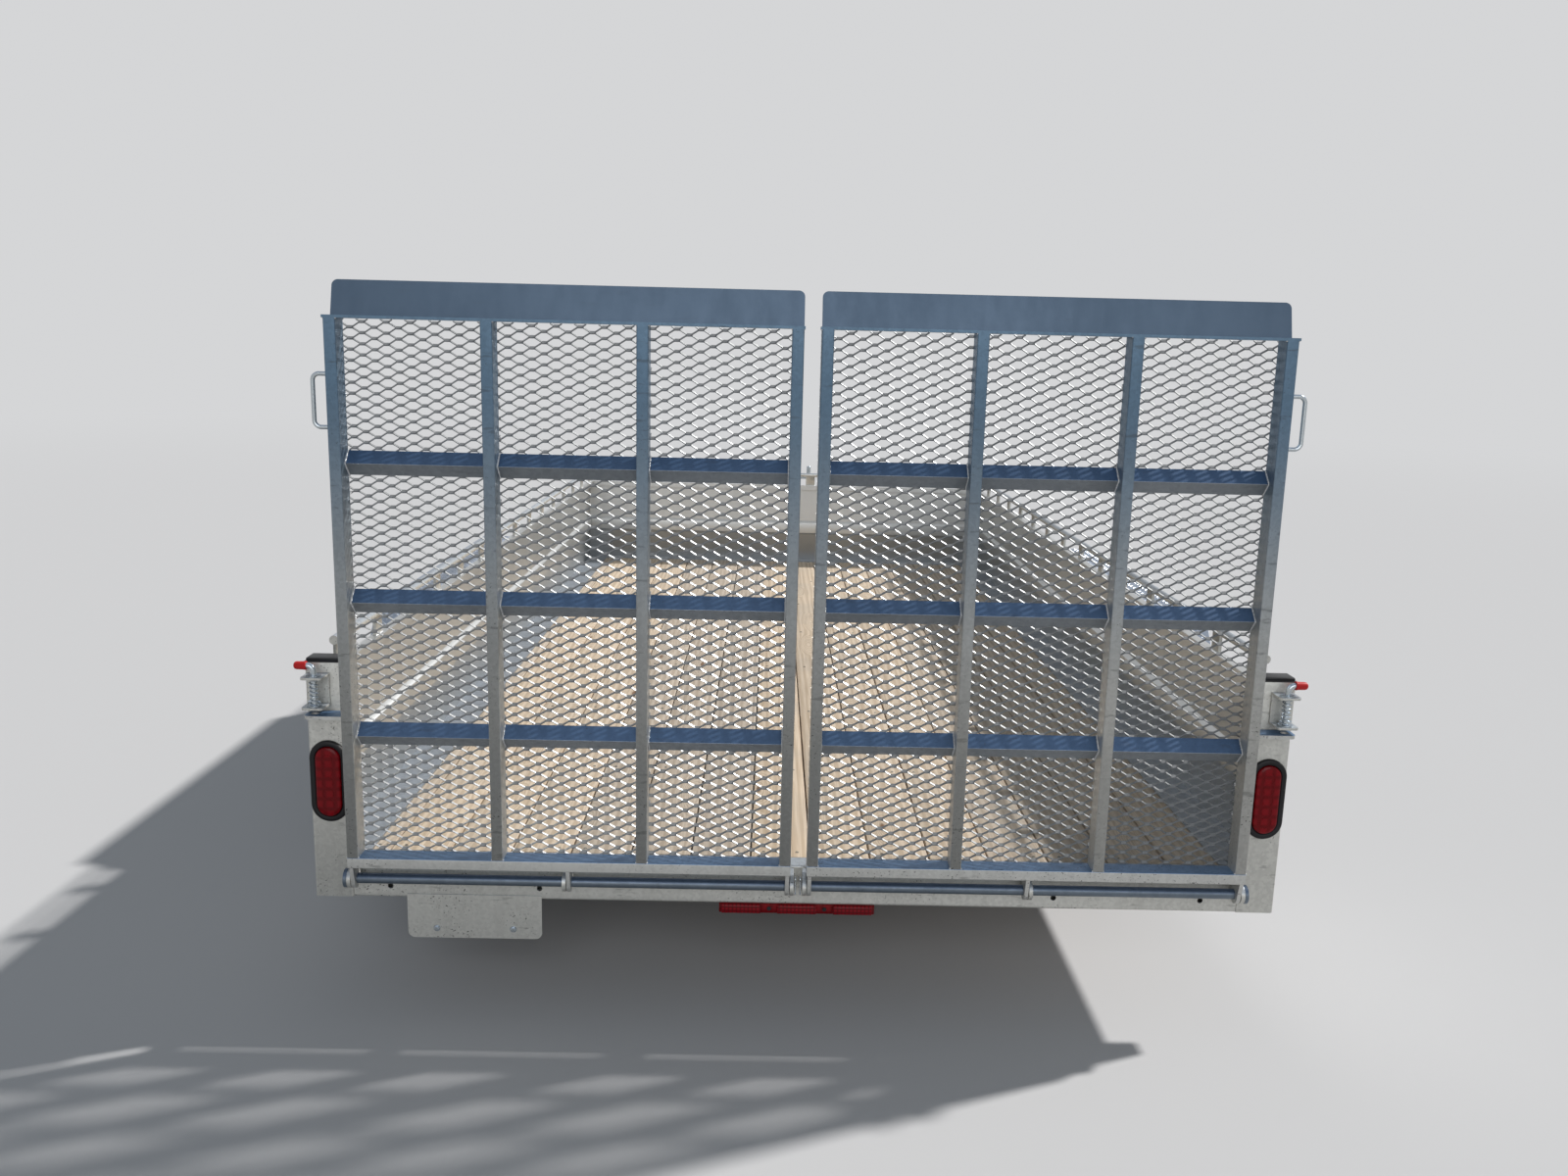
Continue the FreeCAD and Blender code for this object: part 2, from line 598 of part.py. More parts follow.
def wall_outline():
    """Section of a wall as (inwards, up) from its outer lower corner, the inner side first."""
    rib_low = "rib_bottom"
    rib_high = "(rib_bottom + rib_height)"
    # the sheet keeps its thickness round a 45 degree bend
    ease = f"sheet_thick * {math.tan(math.pi / 8):.5f}"
    inner = [("0", "0"), ("sheet_thick", "0"), ("sheet_thick", rib_low),
             ("sheet_thick + rib_depth", f"{rib_low} + rib_depth"),
             ("sheet_thick + rib_depth", f"{rib_high} - rib_depth"), ("sheet_thick", rib_high),
             ("sheet_thick", "wall_height - hem_size"), ("hem_size", "wall_height - hem_size"),
             ("hem_size", "wall_height"), ("0", "wall_height")]
    outer = [("0", f"{rib_high} - {ease}"), ("rib_depth", f"{rib_high} - rib_depth - {ease}"),
             ("rib_depth", f"{rib_low} + rib_depth + {ease}"), ("0", f"{rib_low} + {ease}")]
    return inner, outer


def walls():
    """Sheet walls with a pressed rib and a folded hem, the front one fitted between the sides."""
    inner, outer = wall_outline()
    solids = {}
    for name, section in (("wall_right_sheet", inner + outer), ("wall_envelope", inner)):
        body = doc.addObject("PartDesign::Body", name)
        corners = [(f"bed_half - ({inwards})", f"deck_height + {up}") for inwards, up in section]
        padded(body, f"{name}_pad", outline(body, f"{name}_outline", "XZ_Plane", corners),
               "bed_length - post_depth", backwards=True)
        stands_at(body, "0", f"{REAR} + post_depth", "0")
        solids[name] = body
    right = solids["wall_right_sheet"]
    node("wall_right", [right])
    node("wall_left", [mirrored("wall_left", right)])
    body = doc.addObject("PartDesign::Body", "wall_front_sheet")
    corners = [(f"-({inwards})", up) for inwards, up in inner + outer]
    padded(body, "wall_front_pad", outline(body, "wall_front_outline", "YZ_Plane", corners),
           "2 * (bed_half - sheet_thick)", centred=True)
    stands_at(body, "0", FRONT, "deck_height")
    envelope = solids["wall_envelope"]
    fitted = cut("wall_front_right_end", body, envelope)
    node("wall_front", [cut("wall_front", fitted, mirrored("wall_envelope_left", envelope))])


def tie_rails():
    """Pipe on flat stubs along the top of each wall."""
    low = ("deck_height + wall_height", TIE_LEVEL)
    start = f"({REAR} + post_depth + tie_start)"
    end = f"({FRONT} - tie_inset - tie_end)"
    span = f"({end} - {start} - 2 * stub_margin)"
    count = math.ceil(worth(f"{span} / stub_spacing"))
    across = (f"{TIE_LINE} - stub_thick / 2", f"{TIE_LINE} + stub_thick / 2")
    pieces = [rod("tie_pipe_right", (TIE_LINE, start, TIE_LEVEL), "y", "tie_radius", f"{end} - {start}")]
    for index in range(count + 1):
        place = f"({start} + stub_margin + {index} * {span} / {count})"
        pieces.append(box(f"tie_stub_{index}", across,
                          (f"{place} - stub_width / 2", f"{place} + stub_width / 2"), low))
    right = fuse("tie_rail_right", pieces)
    node("tie_rail_right", [right])
    node("tie_rail_left", [mirrored("tie_rail_left", right)])
    width = f"({TIE_LINE} - tie_start)"
    depth = f"({FRONT} - tie_inset)"
    span = f"(2 * {width} - 2 * stub_margin)"
    count = math.ceil(worth(f"{span} / stub_spacing"))
    along = (f"{depth} - stub_thick / 2", f"{depth} + stub_thick / 2")
    pieces = [rod("tie_pipe_front", (f"-{width}", depth, TIE_LEVEL), "x", "tie_radius", f"2 * {width}")]
    for index in range(count + 1):
        place = f"(stub_margin - {width} + {index} * {span} / {count})"
        across = (f"{place} - stub_width / 2", f"{place} + stub_width / 2")
        pieces.append(box(f"tie_stub_front_{index}", across, along, low))
    node("tie_rail_front", [fuse("tie_rail_front", pieces)])


def posts():
    """Rear posts with their caps and oval tail lamps."""
    side = (POST_INNER, POST_OUTER)
    depth = (REAR, f"{REAR} + post_depth")
    top = f"({RAIL_BOTTOM} + post_height)"
    right = tube("post_right", side, depth, (RAIL_BOTTOM, top), "tube_wall", "z", "tube_round")
    node("rear_post_right", [right])
    node("rear_post_left", [mirrored("post_left", right)])
    cap = eased("cap_right", box("cap_block", side, depth, (top, f"{top} + cap_height")), "cap_round",
                lambda edge: edge.BoundBox.ZMin > worth(top) + 1)
    node("post_caps", [cap, mirrored("cap_left", cap)])
    place = (f"{POST_INNER} + post_width / 2", REAR, "deck_height + lamp_rise")
    flange = doc.addObject("PartDesign::Body", "flange_right")
    pad = padded(flange, "flange_pad", oval(flange, "flange_oval", "lamp_length + 2 * lamp_flange",
                                            "lamp_width + 2 * lamp_flange"), "flange_thick")
    front = NEAR - worth("flange_thick")
    rounded(flange, "flange_rounding", pad, "flange_round", lambda edge: edge.BoundBox.YMax < front)
    holed(flange, "flange_window", oval(flange, "flange_inner", "lamp_length", "lamp_width"))
    stands_at(flange, *place)
    node("tail_lamp_flanges", [flange, mirrored("flange_left", flange)])
    lens = doc.addObject("PartDesign::Body", "lens_right")
    pad = padded(lens, "lens_pad", oval(lens, "lens_oval", "lamp_length", "lamp_width"), "lens_stand")
    front = NEAR - worth("lens_stand")
    rounded(lens, "lens_rounding", pad, "lens_round", lambda edge: edge.BoundBox.YMax < front)
    stands_at(lens, *place)
    node("tail_lamp_lenses", [lens, mirrored("lens_left", lens)])


def sill_fittings():
    """Licence plate bracket and the row of red marker lamps."""
    plate = doc.addObject("PartDesign::Body", "plate_bracket_sheet")
    half = "plate_width / 2"
    corners = [(f"-{half}", "0"), (half, "0"), (half, "plate_height"), (f"-{half}", "plate_height")]
    sheet_outline = outline(plate, "plate_outline", "XZ_Plane", corners)
    pad = padded(plate, "plate_pad", sheet_outline, "plate_thick")
    rounded(plate, "plate_corners", pad, "plate_round",
            lambda edge: lies_along(edge, "y") and edge.BoundBox.ZMax < NEAR)
    for name, place in (("left", "-plate_bolts / 2"), ("right", "plate_bolts / 2")):
        spot = circle(plate, f"plate_bolt_{name}", "XZ_Plane", (place, "plate_bolt_rise"),
                      "plate_bolt_radius")
        holed(plate, f"plate_hole_{name}", spot)
    stands_at(plate, f"{half} - plate_left", REAR, f"{RAIL_BOTTOM} + plate_lap - plate_height")
    node("plate_bracket", [plate])

    back = f"({REAR} + bar_light_depth * 3 / 4)"
    face = f"({REAR} - bar_light_depth / 4)"
    height = (f"{RAIL_BOTTOM} - bar_light_height", RAIL_BOTTOM)
    lamps = [box("marker_strip", ("-bar_light_width / 2", "bar_light_width / 2"),
                 (f"{face} + bar_lens_stand", back), height)]
    step = "(bar_light_width / 2 - bar_lens_margin - bar_lens_width / 2)"
    for place in (-1, 0, 1):
        middle = f"({place} * {step})"
        width = (f"{middle} - bar_lens_width / 2", f"{middle} + bar_lens_width / 2")
        lens = box(f"marker_block_{place + 1}", width, (face, f"{face} + bar_lens_stand + 1"),
                   (f"{height[0]} + 1", f"{height[1]} - 1"))
        front = worth(face) + NEAR
        lamps.append(eased(f"marker_lens_{place + 1}", lens, "bar_lens_round",
                           lambda edge: edge.BoundBox.YMin < front))
    node("marker_light_bar", [fuse("marker_light_bar", lamps)])


def lug_plate(x, forward):
    """A hinge lug at x: a round eye on the rod with an arm to the sill or up to the gate."""
    radius = worth("lug_radius")
    thick = worth("lug_thick")
    eye = Vector(x, worth(HINGE_Y), worth(HINGE_Z))
    disc = Part.makeCylinder(radius, thick, eye, Vector(1, 0, 0))
    if forward:
        back = worth("hinge_back")
        rise = worth("hinge_drop - lug_top")
        arm_points = [(x, eye.y, eye.z - radius), (x, eye.y + back, eye.z - radius),
                      (x, eye.y + back, eye.z + rise), (x, eye.y, eye.z + radius)]
        bore = worth("hinge_radius")
    else:
        rise = worth("hinge_drop")
        top = eye.z + rise
        arm_points = [(x, eye.y - radius, eye.z), (x, eye.y + radius / 2, eye.z),
                      (x, worth(GATE_FRONT), top), (x, worth(f"{GATE_REAR} + bar_wall"), top)]
        bore = worth("hinge_radius + hinge_slack")
    lug = disc.fuse(prism(arm_points, (thick, 0, 0)))
    hole = Part.makeCylinder(bore, thick + 2, eye - Vector(1, 0, 0), Vector(1, 0, 0))
    return lug.cut(hole).removeSplitter()


def lug_stations():
    """Where each leaf's lugs stand on the right: gate lug and frame lug, from the middle out."""
    step = "(lug_thick + lug_step)"
    middle = f"(({LEAF_INNER} + {LEAF_OUTER}) / 2)"
    return [
        # gate lug's x, frame lug's x
        (f"({LEAF_INNER} + lug_inset)", f"({LEAF_INNER} + lug_inset - {step})"),
        (middle, f"({middle} + {step})"),
        (f"({LEAF_OUTER} - lug_thick - lug_inset)", f"({LEAF_OUTER} - lug_thick - lug_inset + {step})"),
    ]


def hinges():
    """Frame lugs and the hinge rods with their round heads."""
    lugs = []
    for gate_x, frame_x in lug_stations():
        lugs.append(lug_plate(worth(frame_x), True))
        lugs.append(lug_plate(-worth(f"{frame_x} + lug_thick"), True))
    node("hinge_lugs_frame", [coded("hinge_lugs_frame", Part.makeCompound(lugs))])
    start = f"({lug_stations()[0][1]} - rod_tail)"
    end = f"({lug_stations()[-1][1]} + lug_thick)"
    bar = rod("hinge_bar", (start, HINGE_Y, HINGE_Z), "x", "hinge_radius", f"{end} - {start}")
    head = rod("hinge_head", (end, HINGE_Y, HINGE_Z), "x", "washer_radius", "washer_thick")
    right = fuse("hinge_rod_right", [bar, head])
    node("hinge_rods", [right, mirrored("hinge_rod_left", right)])


def latch_pin():
    """The right latch pin: a round bar bent outwards at its top, foot at the body's origin."""
    body = doc.addObject("PartDesign::Body", "latch_pin_right")
    rise = f"({LATCH_TOP} + pin_rise - {LATCH_LOW} + pin_tip)"
    reach = "(grip_start + grip_length - grip_end)"
    bend = worth("pin_bend")
    high = worth(rise)
    path = new_sketch(body, "pin_path", "XZ_Plane")
    path.addGeometry(Part.LineSegment(Vector(0, 0, 0), Vector(0, high - bend, 0)), False)
    corner = Part.Circle(Vector(bend, high - bend, 0), Vector(0, 0, 1), bend)
    path.addGeometry(Part.ArcOfCircle(corner, math.pi / 2, math.pi), False)
    path.addGeometry(Part.LineSegment(Vector(bend, high, 0), Vector(worth(reach), high, 0)), False)
    path.addConstraint(Sketcher.Constraint("Coincident", 0, 1, -1, 1))
    path.addConstraint(Sketcher.Constraint("Vertical", 0))
    path.addConstraint(Sketcher.Constraint("Tangent", 0, 2, 1, 2))
    path.addConstraint(Sketcher.Constraint("Tangent", 1, 1, 2, 1))
    path.addConstraint(Sketcher.Constraint("Horizontal", 2))
    sized(path, "Radius", 1, "pin_bend")
    sized(path, "DistanceX", -1, 1, 2, 2, reach)
    sized(path, "DistanceY", -1, 1, 2, 2, rise)
    piped(body, "pin_bar", circle(body, "pin_section", "XY_Plane", ("0", "0"), "pin_radius"), path)
    stands_at(body, PIN_X, PIN_Y, f"{LATCH_LOW} - pin_tip")
    return body


def latches():
    """Spring pin latches on the rear posts."""
    reach = f"({PIN_Y} - latch_lap)"
    across = (f"{PIN_X} - latch_width / 2", f"{PIN_X} + latch_width / 2")
    spine = box("latch_spine", across, (f"{REAR} - latch_plate", REAR), (LATCH_LOW, LATCH_TOP))
    plates = [spine]
    for name, low in (("lower", LATCH_LOW), ("upper", f"({LATCH_TOP} - latch_plate)")):
        plate = box(f"latch_{name}_block", across, (reach, REAR), (low, f"{low} + latch_plate"))
        rear = worth(reach) + NEAR
        plates.append(eased(f"latch_{name}", plate, "latch_round",
                            lambda edge: lies_along(edge, "z") and edge.BoundBox.YMax < rear))
    bore = rod("latch_bore", (PIN_X, PIN_Y, f"{LATCH_LOW} - 1"), "z", "pin_radius + pin_slack",
               "latch_height + 2")
    right = cut("latch_bracket_right", fuse("latch_body", plates), bore)
    node("latch_brackets", [right, mirrored("latch_bracket_left", right)])
    right = latch_pin()
    node("latch_pins", [right, mirrored("latch_pin_left", right)])
    bend = f"({LATCH_TOP} + pin_rise)"
    start = f"({PIN_X} + grip_start)"
    grip = rod("grip_solid", (start, PIN_Y, bend), "x", "grip_radius", "grip_length")
    end = worth(f"{start} + grip_length") - NEAR
    grip = eased("grip_rounded", grip, "grip_round", lambda edge: edge.BoundBox.XMin > end)
    core = rod("grip_core", (f"{start} - 1", PIN_Y, bend), "x", "pin_radius", "grip_length - grip_end + 1")
    right = cut("latch_grip_right", grip, core)
    node("latch_grips", [right, mirrored("latch_grip_left", right)])
    coil = rod("spring_solid", (PIN_X, PIN_Y, f"{LATCH_LOW} + latch_plate"), "z", "spring_radius",
               "latch_height - 2 * latch_plate")
    core = rod("spring_core", (PIN_X, PIN_Y, LATCH_LOW), "z", "pin_radius + pin_slack", "latch_height")
    right = cut("latch_spring_right", coil, core)
    node("latch_springs", [right, mirrored("latch_spring_left", right)])


def mesh_panel():
    """Expanded metal behind the right leaf's bars: rows of diamonds, cut off at the sheet's margin."""
    long_way = worth("mesh_long * mesh_group")
    short_way = worth("mesh_short * mesh_group")
    lean = math.atan2(short_way, long_way)
    half_long = long_way / 2 - worth("mesh_strand / 2") / math.sin(lean)
    half_short = short_way / 2 - worth("mesh_strand / 2") / math.cos(lean)
    width = worth(f"{LEAF_OUTER} - {LEAF_INNER}")
    height = worth("gate_height")
    margin = worth("mesh_margin")
    upright = Rotation(Vector(1, 0, 0), 90)
    field = Part.makePlane(width - 2 * margin, height - 2 * margin, Vector(margin, margin, 0))
    wires = [Part.makePlane(width, height).OuterWire]
    for row in range(math.ceil(2 * height / short_way) + 1):
        shift = 0 if row % 2 else long_way / 2
        for column in range(math.ceil(width / long_way) + 1):
            middle = Vector(shift + column * long_way, row * short_way / 2)
            reach = (Vector(half_long, 0), Vector(0, half_short))
            corners = [middle + reach[0], middle + reach[1], middle - reach[0], middle - reach[1]]
            diamond = Part.Face(Part.makePolygon(corners + corners[:1]))
            cut_off = diamond.common(field)
            if cut_off.Area > diamond.Area * 0.1:
                wires.append(cut_off.Faces[0].OuterWire)
    panel = Part.Face(wires, "Part::FaceMakerBullseye").extrude(Vector(0, 0, -worth("mesh_thick")))
    panel.Placement = Placement(Vector(worth(LEAF_INNER), worth(GATE_FRONT), worth("deck_height")), upright)
    return coded("mesh_right", panel)


def cross_angle(start, end, ridge_z):
    """A V-shaped cross angle between two bars, its ridge to the rear and its toes on the mesh."""
    reach = worth("angle_leg") * math.cos(math.radians(45))
    inset = worth("angle_thick") / math.cos(math.radians(45))
    toe_y = worth(GATE_FRONT)
    ridge_y = toe_y - reach
    section = [(start, ridge_y, ridge_z), (start, toe_y, ridge_z + reach),
               (start, toe_y, ridge_z + reach - inset), (start, ridge_y + inset, ridge_z),
               (start, toe_y, ridge_z - reach + inset), (start, toe_y, ridge_z - reach)]
    return prism(section, (end - start, 0, 0))


def lip_plate():
    """The lip on the right leaf: a plate with rounded upper corners that leans forward."""
    foot = f"({GATE_TOP} + top_plate)"
    body = doc.addObject("PartDesign::Body", "lip_sheet")
    end = f"({LEAF_OUTER} - lip_inset)"
    corners = [(LEAF_INNER, "-lip_thick"), (end, "-lip_thick"), (end, "lip_height"),
               (LEAF_INNER, "lip_height")]
    pad = padded(body, "lip_pad", outline(body, "lip_outline", "XZ_Plane", corners), "lip_thick",
                 backwards=True)
    rounded(body, "lip_corners", pad, "lip_round",
            lambda edge: lies_along(edge, "y") and edge.BoundBox.ZMin > 1)
    body.Placement = Placement(Vector(), Rotation(Vector(1, 0, 0), -worth("lip_lean")))
    stands_at(body, "0", f"{GATE_REAR} + lip_back", foot)
    below = box("lip_below", (f"{LEAF_INNER} - 1", f"{end} + 1"), (GATE_REAR, GATE_FRONT),
                (f"{foot} - bar_width", foot))
    return cut("lip_right", body, below)


def handle():
    """The right leaf's handle: a round bar bent twice, its lower foot at the body's origin."""
    body = doc.addObject("PartDesign::Body", "handle")
    reach = "(handle_reach - handle_radius)"
    height = "(handle_length - 2 * handle_radius)"
    out = worth(reach)
    high = worth(height)
    bend = worth("handle_bend")
    path = new_sketch(body, "handle_path", "XZ_Plane")
    upright = Vector(0, 0, 1)
    path.addGeometry(Part.LineSegment(Vector(0, 0, 0), Vector(out - bend, 0, 0)), False)
    low_corner = Part.Circle(Vector(out - bend, bend, 0), upright, bend)
    path.addGeometry(Part.ArcOfCircle(low_corner, -math.pi / 2, 0), False)
    path.addGeometry(Part.LineSegment(Vector(out, bend, 0), Vector(out, high - bend, 0)), False)
    high_corner = Part.Circle(Vector(out - bend, high - bend, 0), upright, bend)
    path.addGeometry(Part.ArcOfCircle(high_corner, 0, math.pi / 2), False)
    path.addGeometry(Part.LineSegment(Vector(out - bend, high, 0), Vector(0, high, 0)), False)
    path.addConstraint(Sketcher.Constraint("Coincident", 0, 1, -1, 1))
    for first, second in ((0, 1), (1, 2), (2, 3), (3, 4)):
        path.addConstraint(Sketcher.Constraint("Tangent", first, 2, second, 1))
    path.addConstraint(Sketcher.Constraint("Horizontal", 0))
    path.addConstraint(Sketcher.Constraint("Vertical", 2))
    path.addConstraint(Sketcher.Constraint("Horizontal", 4))
    path.addConstraint(Sketcher.Constraint("PointOnObject", 4, 2, -2))
    path.addConstraint(Sketcher.Constraint("Equal", 1, 3))
    sized(path, "Radius", 1, "handle_bend")
    sized(path, "DistanceX", -1, 1, 2, 1, reach)
    sized(path, "DistanceY", -1, 1, 4, 2, height)
    section = circle(body, "handle_section", "YZ_Plane", ("0", "0"), "handle_radius")
    piped(body, "handle_bar", section, path)
    stands_at(body, LEAF_OUTER, f"{GATE_REAR} + bar_depth / 2", "deck_height + handle_bottom + handle_radius")
    return body


def gate(side, sign, lip, grip, mesh):
    """One ramp gate: bars, cross angles, mesh, lip, lugs, handle and latch tab."""
    bar_step = f"(({LEAF_OUTER} - {LEAF_INNER} - bar_width) / 3)"
    height = ("deck_height + bar_width", GATE_TOP)
    depth = (GATE_REAR, GATE_FRONT)

    def handed(name, piece):
        return piece if sign > 0 else mirrored(name, piece)

    def placed(shape):
        return shape if sign > 0 else shape.mirror(Vector(), Vector(1, 0, 0))

    bars = []
    for index in range(4):
        left = f"({LEAF_INNER} + {index} * {bar_step})"
        bars.append(tube(f"gate_{side}_bar_{index}", (left, f"{left} + bar_width"), depth, height,
                         "bar_wall", "z", "bar_round"))
    bars.append(tube(f"gate_{side}_bottom", (LEAF_INNER, LEAF_OUTER), depth,
                     ("deck_height", "deck_height + bar_width"), "bar_wall", "x", "bar_round"))
    bars.append(box(f"gate_{side}_top", (f"{LEAF_INNER} - top_inner", f"{LEAF_OUTER} + top_outer"), depth,
                    (GATE_TOP, f"{GATE_TOP} + top_plate")))
    node(f"gate_{side}_frame", [handed(f"gate_{side}_bars_mirror", fuse(f"gate_{side}_bars", bars))])

    step = worth(bar_step)
    angles = []
    for bay in range(3):
        start = worth(LEAF_INNER) + bay * step + worth("bar_width")
        end = start + step - worth("bar_width")
        for quarter in (1, 2, 3):
            level = worth("deck_height") + quarter * worth("gate_height") / 4
            angles.append(placed(cross_angle(start, end, level)))
    node(f"gate_{side}_cross_angles", [coded(f"gate_{side}_cross_angles", Part.makeCompound(angles))])
    node(f"gate_{side}_mesh", [handed(f"gate_{side}_mesh_mirror", mesh)])
    node(f"gate_{side}_lip", [handed(f"gate_{side}_lip_mirror", lip)])
    lugs = [placed(lug_plate(worth(gate_x), False)) for gate_x, _ in lug_stations()]
    node(f"gate_{side}_hinge_lugs", [coded(f"gate_{side}_hinge_lugs", Part.makeCompound(lugs))])
    node(f"gate_{side}_handle", [handed(f"gate_{side}_handle_mirror", grip)])

    low = "(deck_height + tab_rise)"
    outer = f"({LEAF_OUTER} + tab_reach)"
    plate = box(f"tab_{side}_block", (LEAF_OUTER, outer),
                (f"{PIN_Y} - tab_depth / 2", f"{PIN_Y} + tab_depth / 2"), (low, f"{low} + tab_thick"))
    far = worth(outer) - NEAR
    plate = eased(f"tab_{side}_plate", plate, "tab_round",
                  lambda edge: lies_along(edge, "z") and edge.BoundBox.XMin > far)
    hole = rod(f"tab_{side}_hole", (PIN_X, PIN_Y, f"{low} - 1"), "z", "tab_hole", "tab_thick + 2")
    tab = cut(f"tab_{side}", plate, hole)
    node(f"gate_{side}_latch_tab", [handed(f"tab_{side}_mirror", tab)])


def axles():
    """Torsion axles: beam under the rails, trailing arms and spindles."""
    low = f"({RAIL_BOTTOM} - axle_tube)"
    for name, sign in (("axle_rear", -1), ("axle_front", 1)):
        spindle_y = f"({REAR} + axle_centre + ({sign}) * axle_spacing / 2)"
        beam_y = f"({spindle_y} + arm_length)"
        end = f"({DECK_HALF} + rail_width + beam_end)"
        depth = (f"{beam_y} - axle_tube / 2", f"{beam_y} + axle_tube / 2")
        beam = box(f"{name}_block", (f"-{end}", end), depth, (low, RAIL_BOTTOM))
        pieces = [eased(f"{name}_beam", beam, "tube_round", lambda edge: lies_along(edge, "x"))]
        beam = Vector(0, worth(beam_y), worth(f"{low} + axle_tube / 2"))
        hub = Vector(0, worth(spindle_y), worth("tyre_radius"))
        for side in (1, -1):
            start = worth(end) if side > 0 else -worth(end) - worth("arm_thick")
            pieces.append(coded(f"{name}_arm_{side + 1}", arm(start, beam, hub)))
        reach = f"({WHEEL_X} - spindle_end - spindle_slack)"
        pieces.append(rod(f"{name}_spindle_right", (end, spindle_y, "tyre_radius"), "x", "spindle_radius",
                          f"{reach} - {end}"))
        pieces.append(rod(f"{name}_spindle_left", (f"-{reach}", spindle_y, "tyre_radius"), "x",
                          "spindle_radius", f"{reach} - {end}"))
        node(name, [fuse(name, pieces)])


def arm(x, beam, hub):
    """A torsion arm that tapers from the beam to the spindle."""
    thick = worth("arm_thick")
    big = worth("axle_tube") / 2
    small = worth("arm_radius")
    span = math.hypot(hub.y - beam.y, hub.z - beam.z)
    lean = math.atan2(hub.z - beam.z, hub.y - beam.y)
    offset = math.acos((big - small) / span)
    corners = []
    for centre, radius, turn in ((beam, big, offset), (hub, small, offset), (hub, small, -offset),
                                 (beam, big, -offset)):
        corners.append((x, centre.y + radius * math.cos(lean + turn),
                        centre.z + radius * math.sin(lean + turn)))
    solid = prism(corners, (thick, 0, 0))
    solid = solid.fuse(Part.makeCylinder(big, thick, Vector(x, beam.y, beam.z), Vector(1, 0, 0)))
    solid = solid.fuse(Part.makeCylinder(small, thick, Vector(x, hub.y, hub.z), Vector(1, 0, 0)))
    return solid.removeSplitter()


def tyre():
    """A tyre about its body's X axis: flat tread, bevelled shoulders, sidewalls that narrow to the bead."""
    body = doc.addObject("PartDesign::Body", "tyre")
    bead = "(rim_width / 2 - bead_slack)"
    right = [(bead, "rim_radius"), (bead, "rim_radius + rim_flange"),
             ("tyre_width / 2", "rim_radius + bulge_rise"), ("shoulder_half", "tyre_radius - shoulder_drop"),
             ("tread_half", "tyre_radius")]
    left = [(f"-{across}", radius) for across, radius in reversed(right)]
    turned(body, "tyre_carcass", right + left)
    return body


def wheel():
    """Disc with its openings, rim, hub and drum about its body's X axis, outside towards +X."""
    body = doc.addObject("PartDesign::Body", "wheel")
    disc = [("0", "rim_radius - rim_thick / 2"), ("0", SPOKE_FOOT), ("rim_dish", SPOKE_CROWN),
            ("rim_dish", "ring_inner"), ("face_stand", "face_radius"), ("face_stand", "hub_cap_radius"),
            ("face_stand - rim_thick", "hub_cap_radius"), ("face_stand - rim_thick", "face_radius"),
            ("rim_dish - rim_thick", "ring_inner"), ("rim_dish - rim_thick", SPOKE_CROWN),
            ("-rim_thick", SPOKE_FOOT), ("-rim_thick", "rim_radius - rim_thick / 2")]
    turned(body, "wheel_disc", disc)
    corners = [("0", "window_apex + window_round"),
               ("window_half - window_round", "window_base - window_round"),
               ("window_round - window_half", "window_base - window_round")]
    opening = belt(body, "wheel_window_outline", "YZ_Plane", corners, "window_round")
    window = holed(body, "wheel_window", opening)
    pattern = body.newObject("PartDesign::PolarPattern", "wheel_windows")
    pattern.Originals = [window]
    pattern.Axis = (origin_part(body, "X_Axis"), [""])
    pattern.Angle = 360
    pattern.setExpression("Occurrences", bound("window_count"))
    body.Tip = pattern
    doc.recompute()
    flange = "(rim_radius + rim_flange)"
    edge = "(rim_width / 2)"
    turned(body, "wheel_rim",
           [(f"-({edge} + rim_thick)", flange), (f"-{edge}", flange), (f"-{edge}", "rim_radius"),
            (edge, "rim_radius"), (edge, flange), (f"{edge} + rim_thick", flange),
            (f"{edge} + rim_thick", "rim_radius - rim_thick"),
            (f"-({edge} + rim_thick)", "rim_radius - rim_thick")])
    bore = "(spindle_radius + spindle_slack)"
    cap = "(rim_dish + hub_cap_stand)"
    turned(body, "wheel_hub",
           [(f"-({DRUM_BACK} + drum_lip)", bore), (f"-({DRUM_BACK} + drum_lip)", "drum_radius"),
            ("-hub_gap", "drum_radius"), ("-hub_gap", "hub_radius"),
            ("face_stand - rim_thick", "hub_radius"), ("face_stand - rim_thick", "hub_cap_radius"),
            (f"{cap} - hub_cap_chamfer", "hub_cap_radius"), (cap, "hub_cap_radius - hub_cap_chamfer"),
            (cap, "0"), ("-spindle_end", "0"), ("-spindle_end", bore)])
    return body


def wheels():
    """Four tyres and four wheels, each a placed copy of one pattern."""
    patterns = {"tyre": tyre(), "wheel": wheel()}
    for place, sign in (("rear", "-1"), ("front", "1")):
        y = f"({REAR} + axle_centre + ({sign}) * axle_spacing / 2)"
        for side, hand, turn in (("left", "-1", 180), ("right", "1", 0)):
            for kind, pattern in patterns.items():
                copy = doc.addObject("Part::Compound", f"{kind}_{place}_{side}")
                copy.Links = [pattern]
                copy.Placement = Placement(Vector(), Rotation(Vector(0, 0, 1), turn))
                stands_at(copy, f"{hand} * {WHEEL_X}", y, "tyre_radius")
                node(f"{kind}_{place}_{side}", [copy])


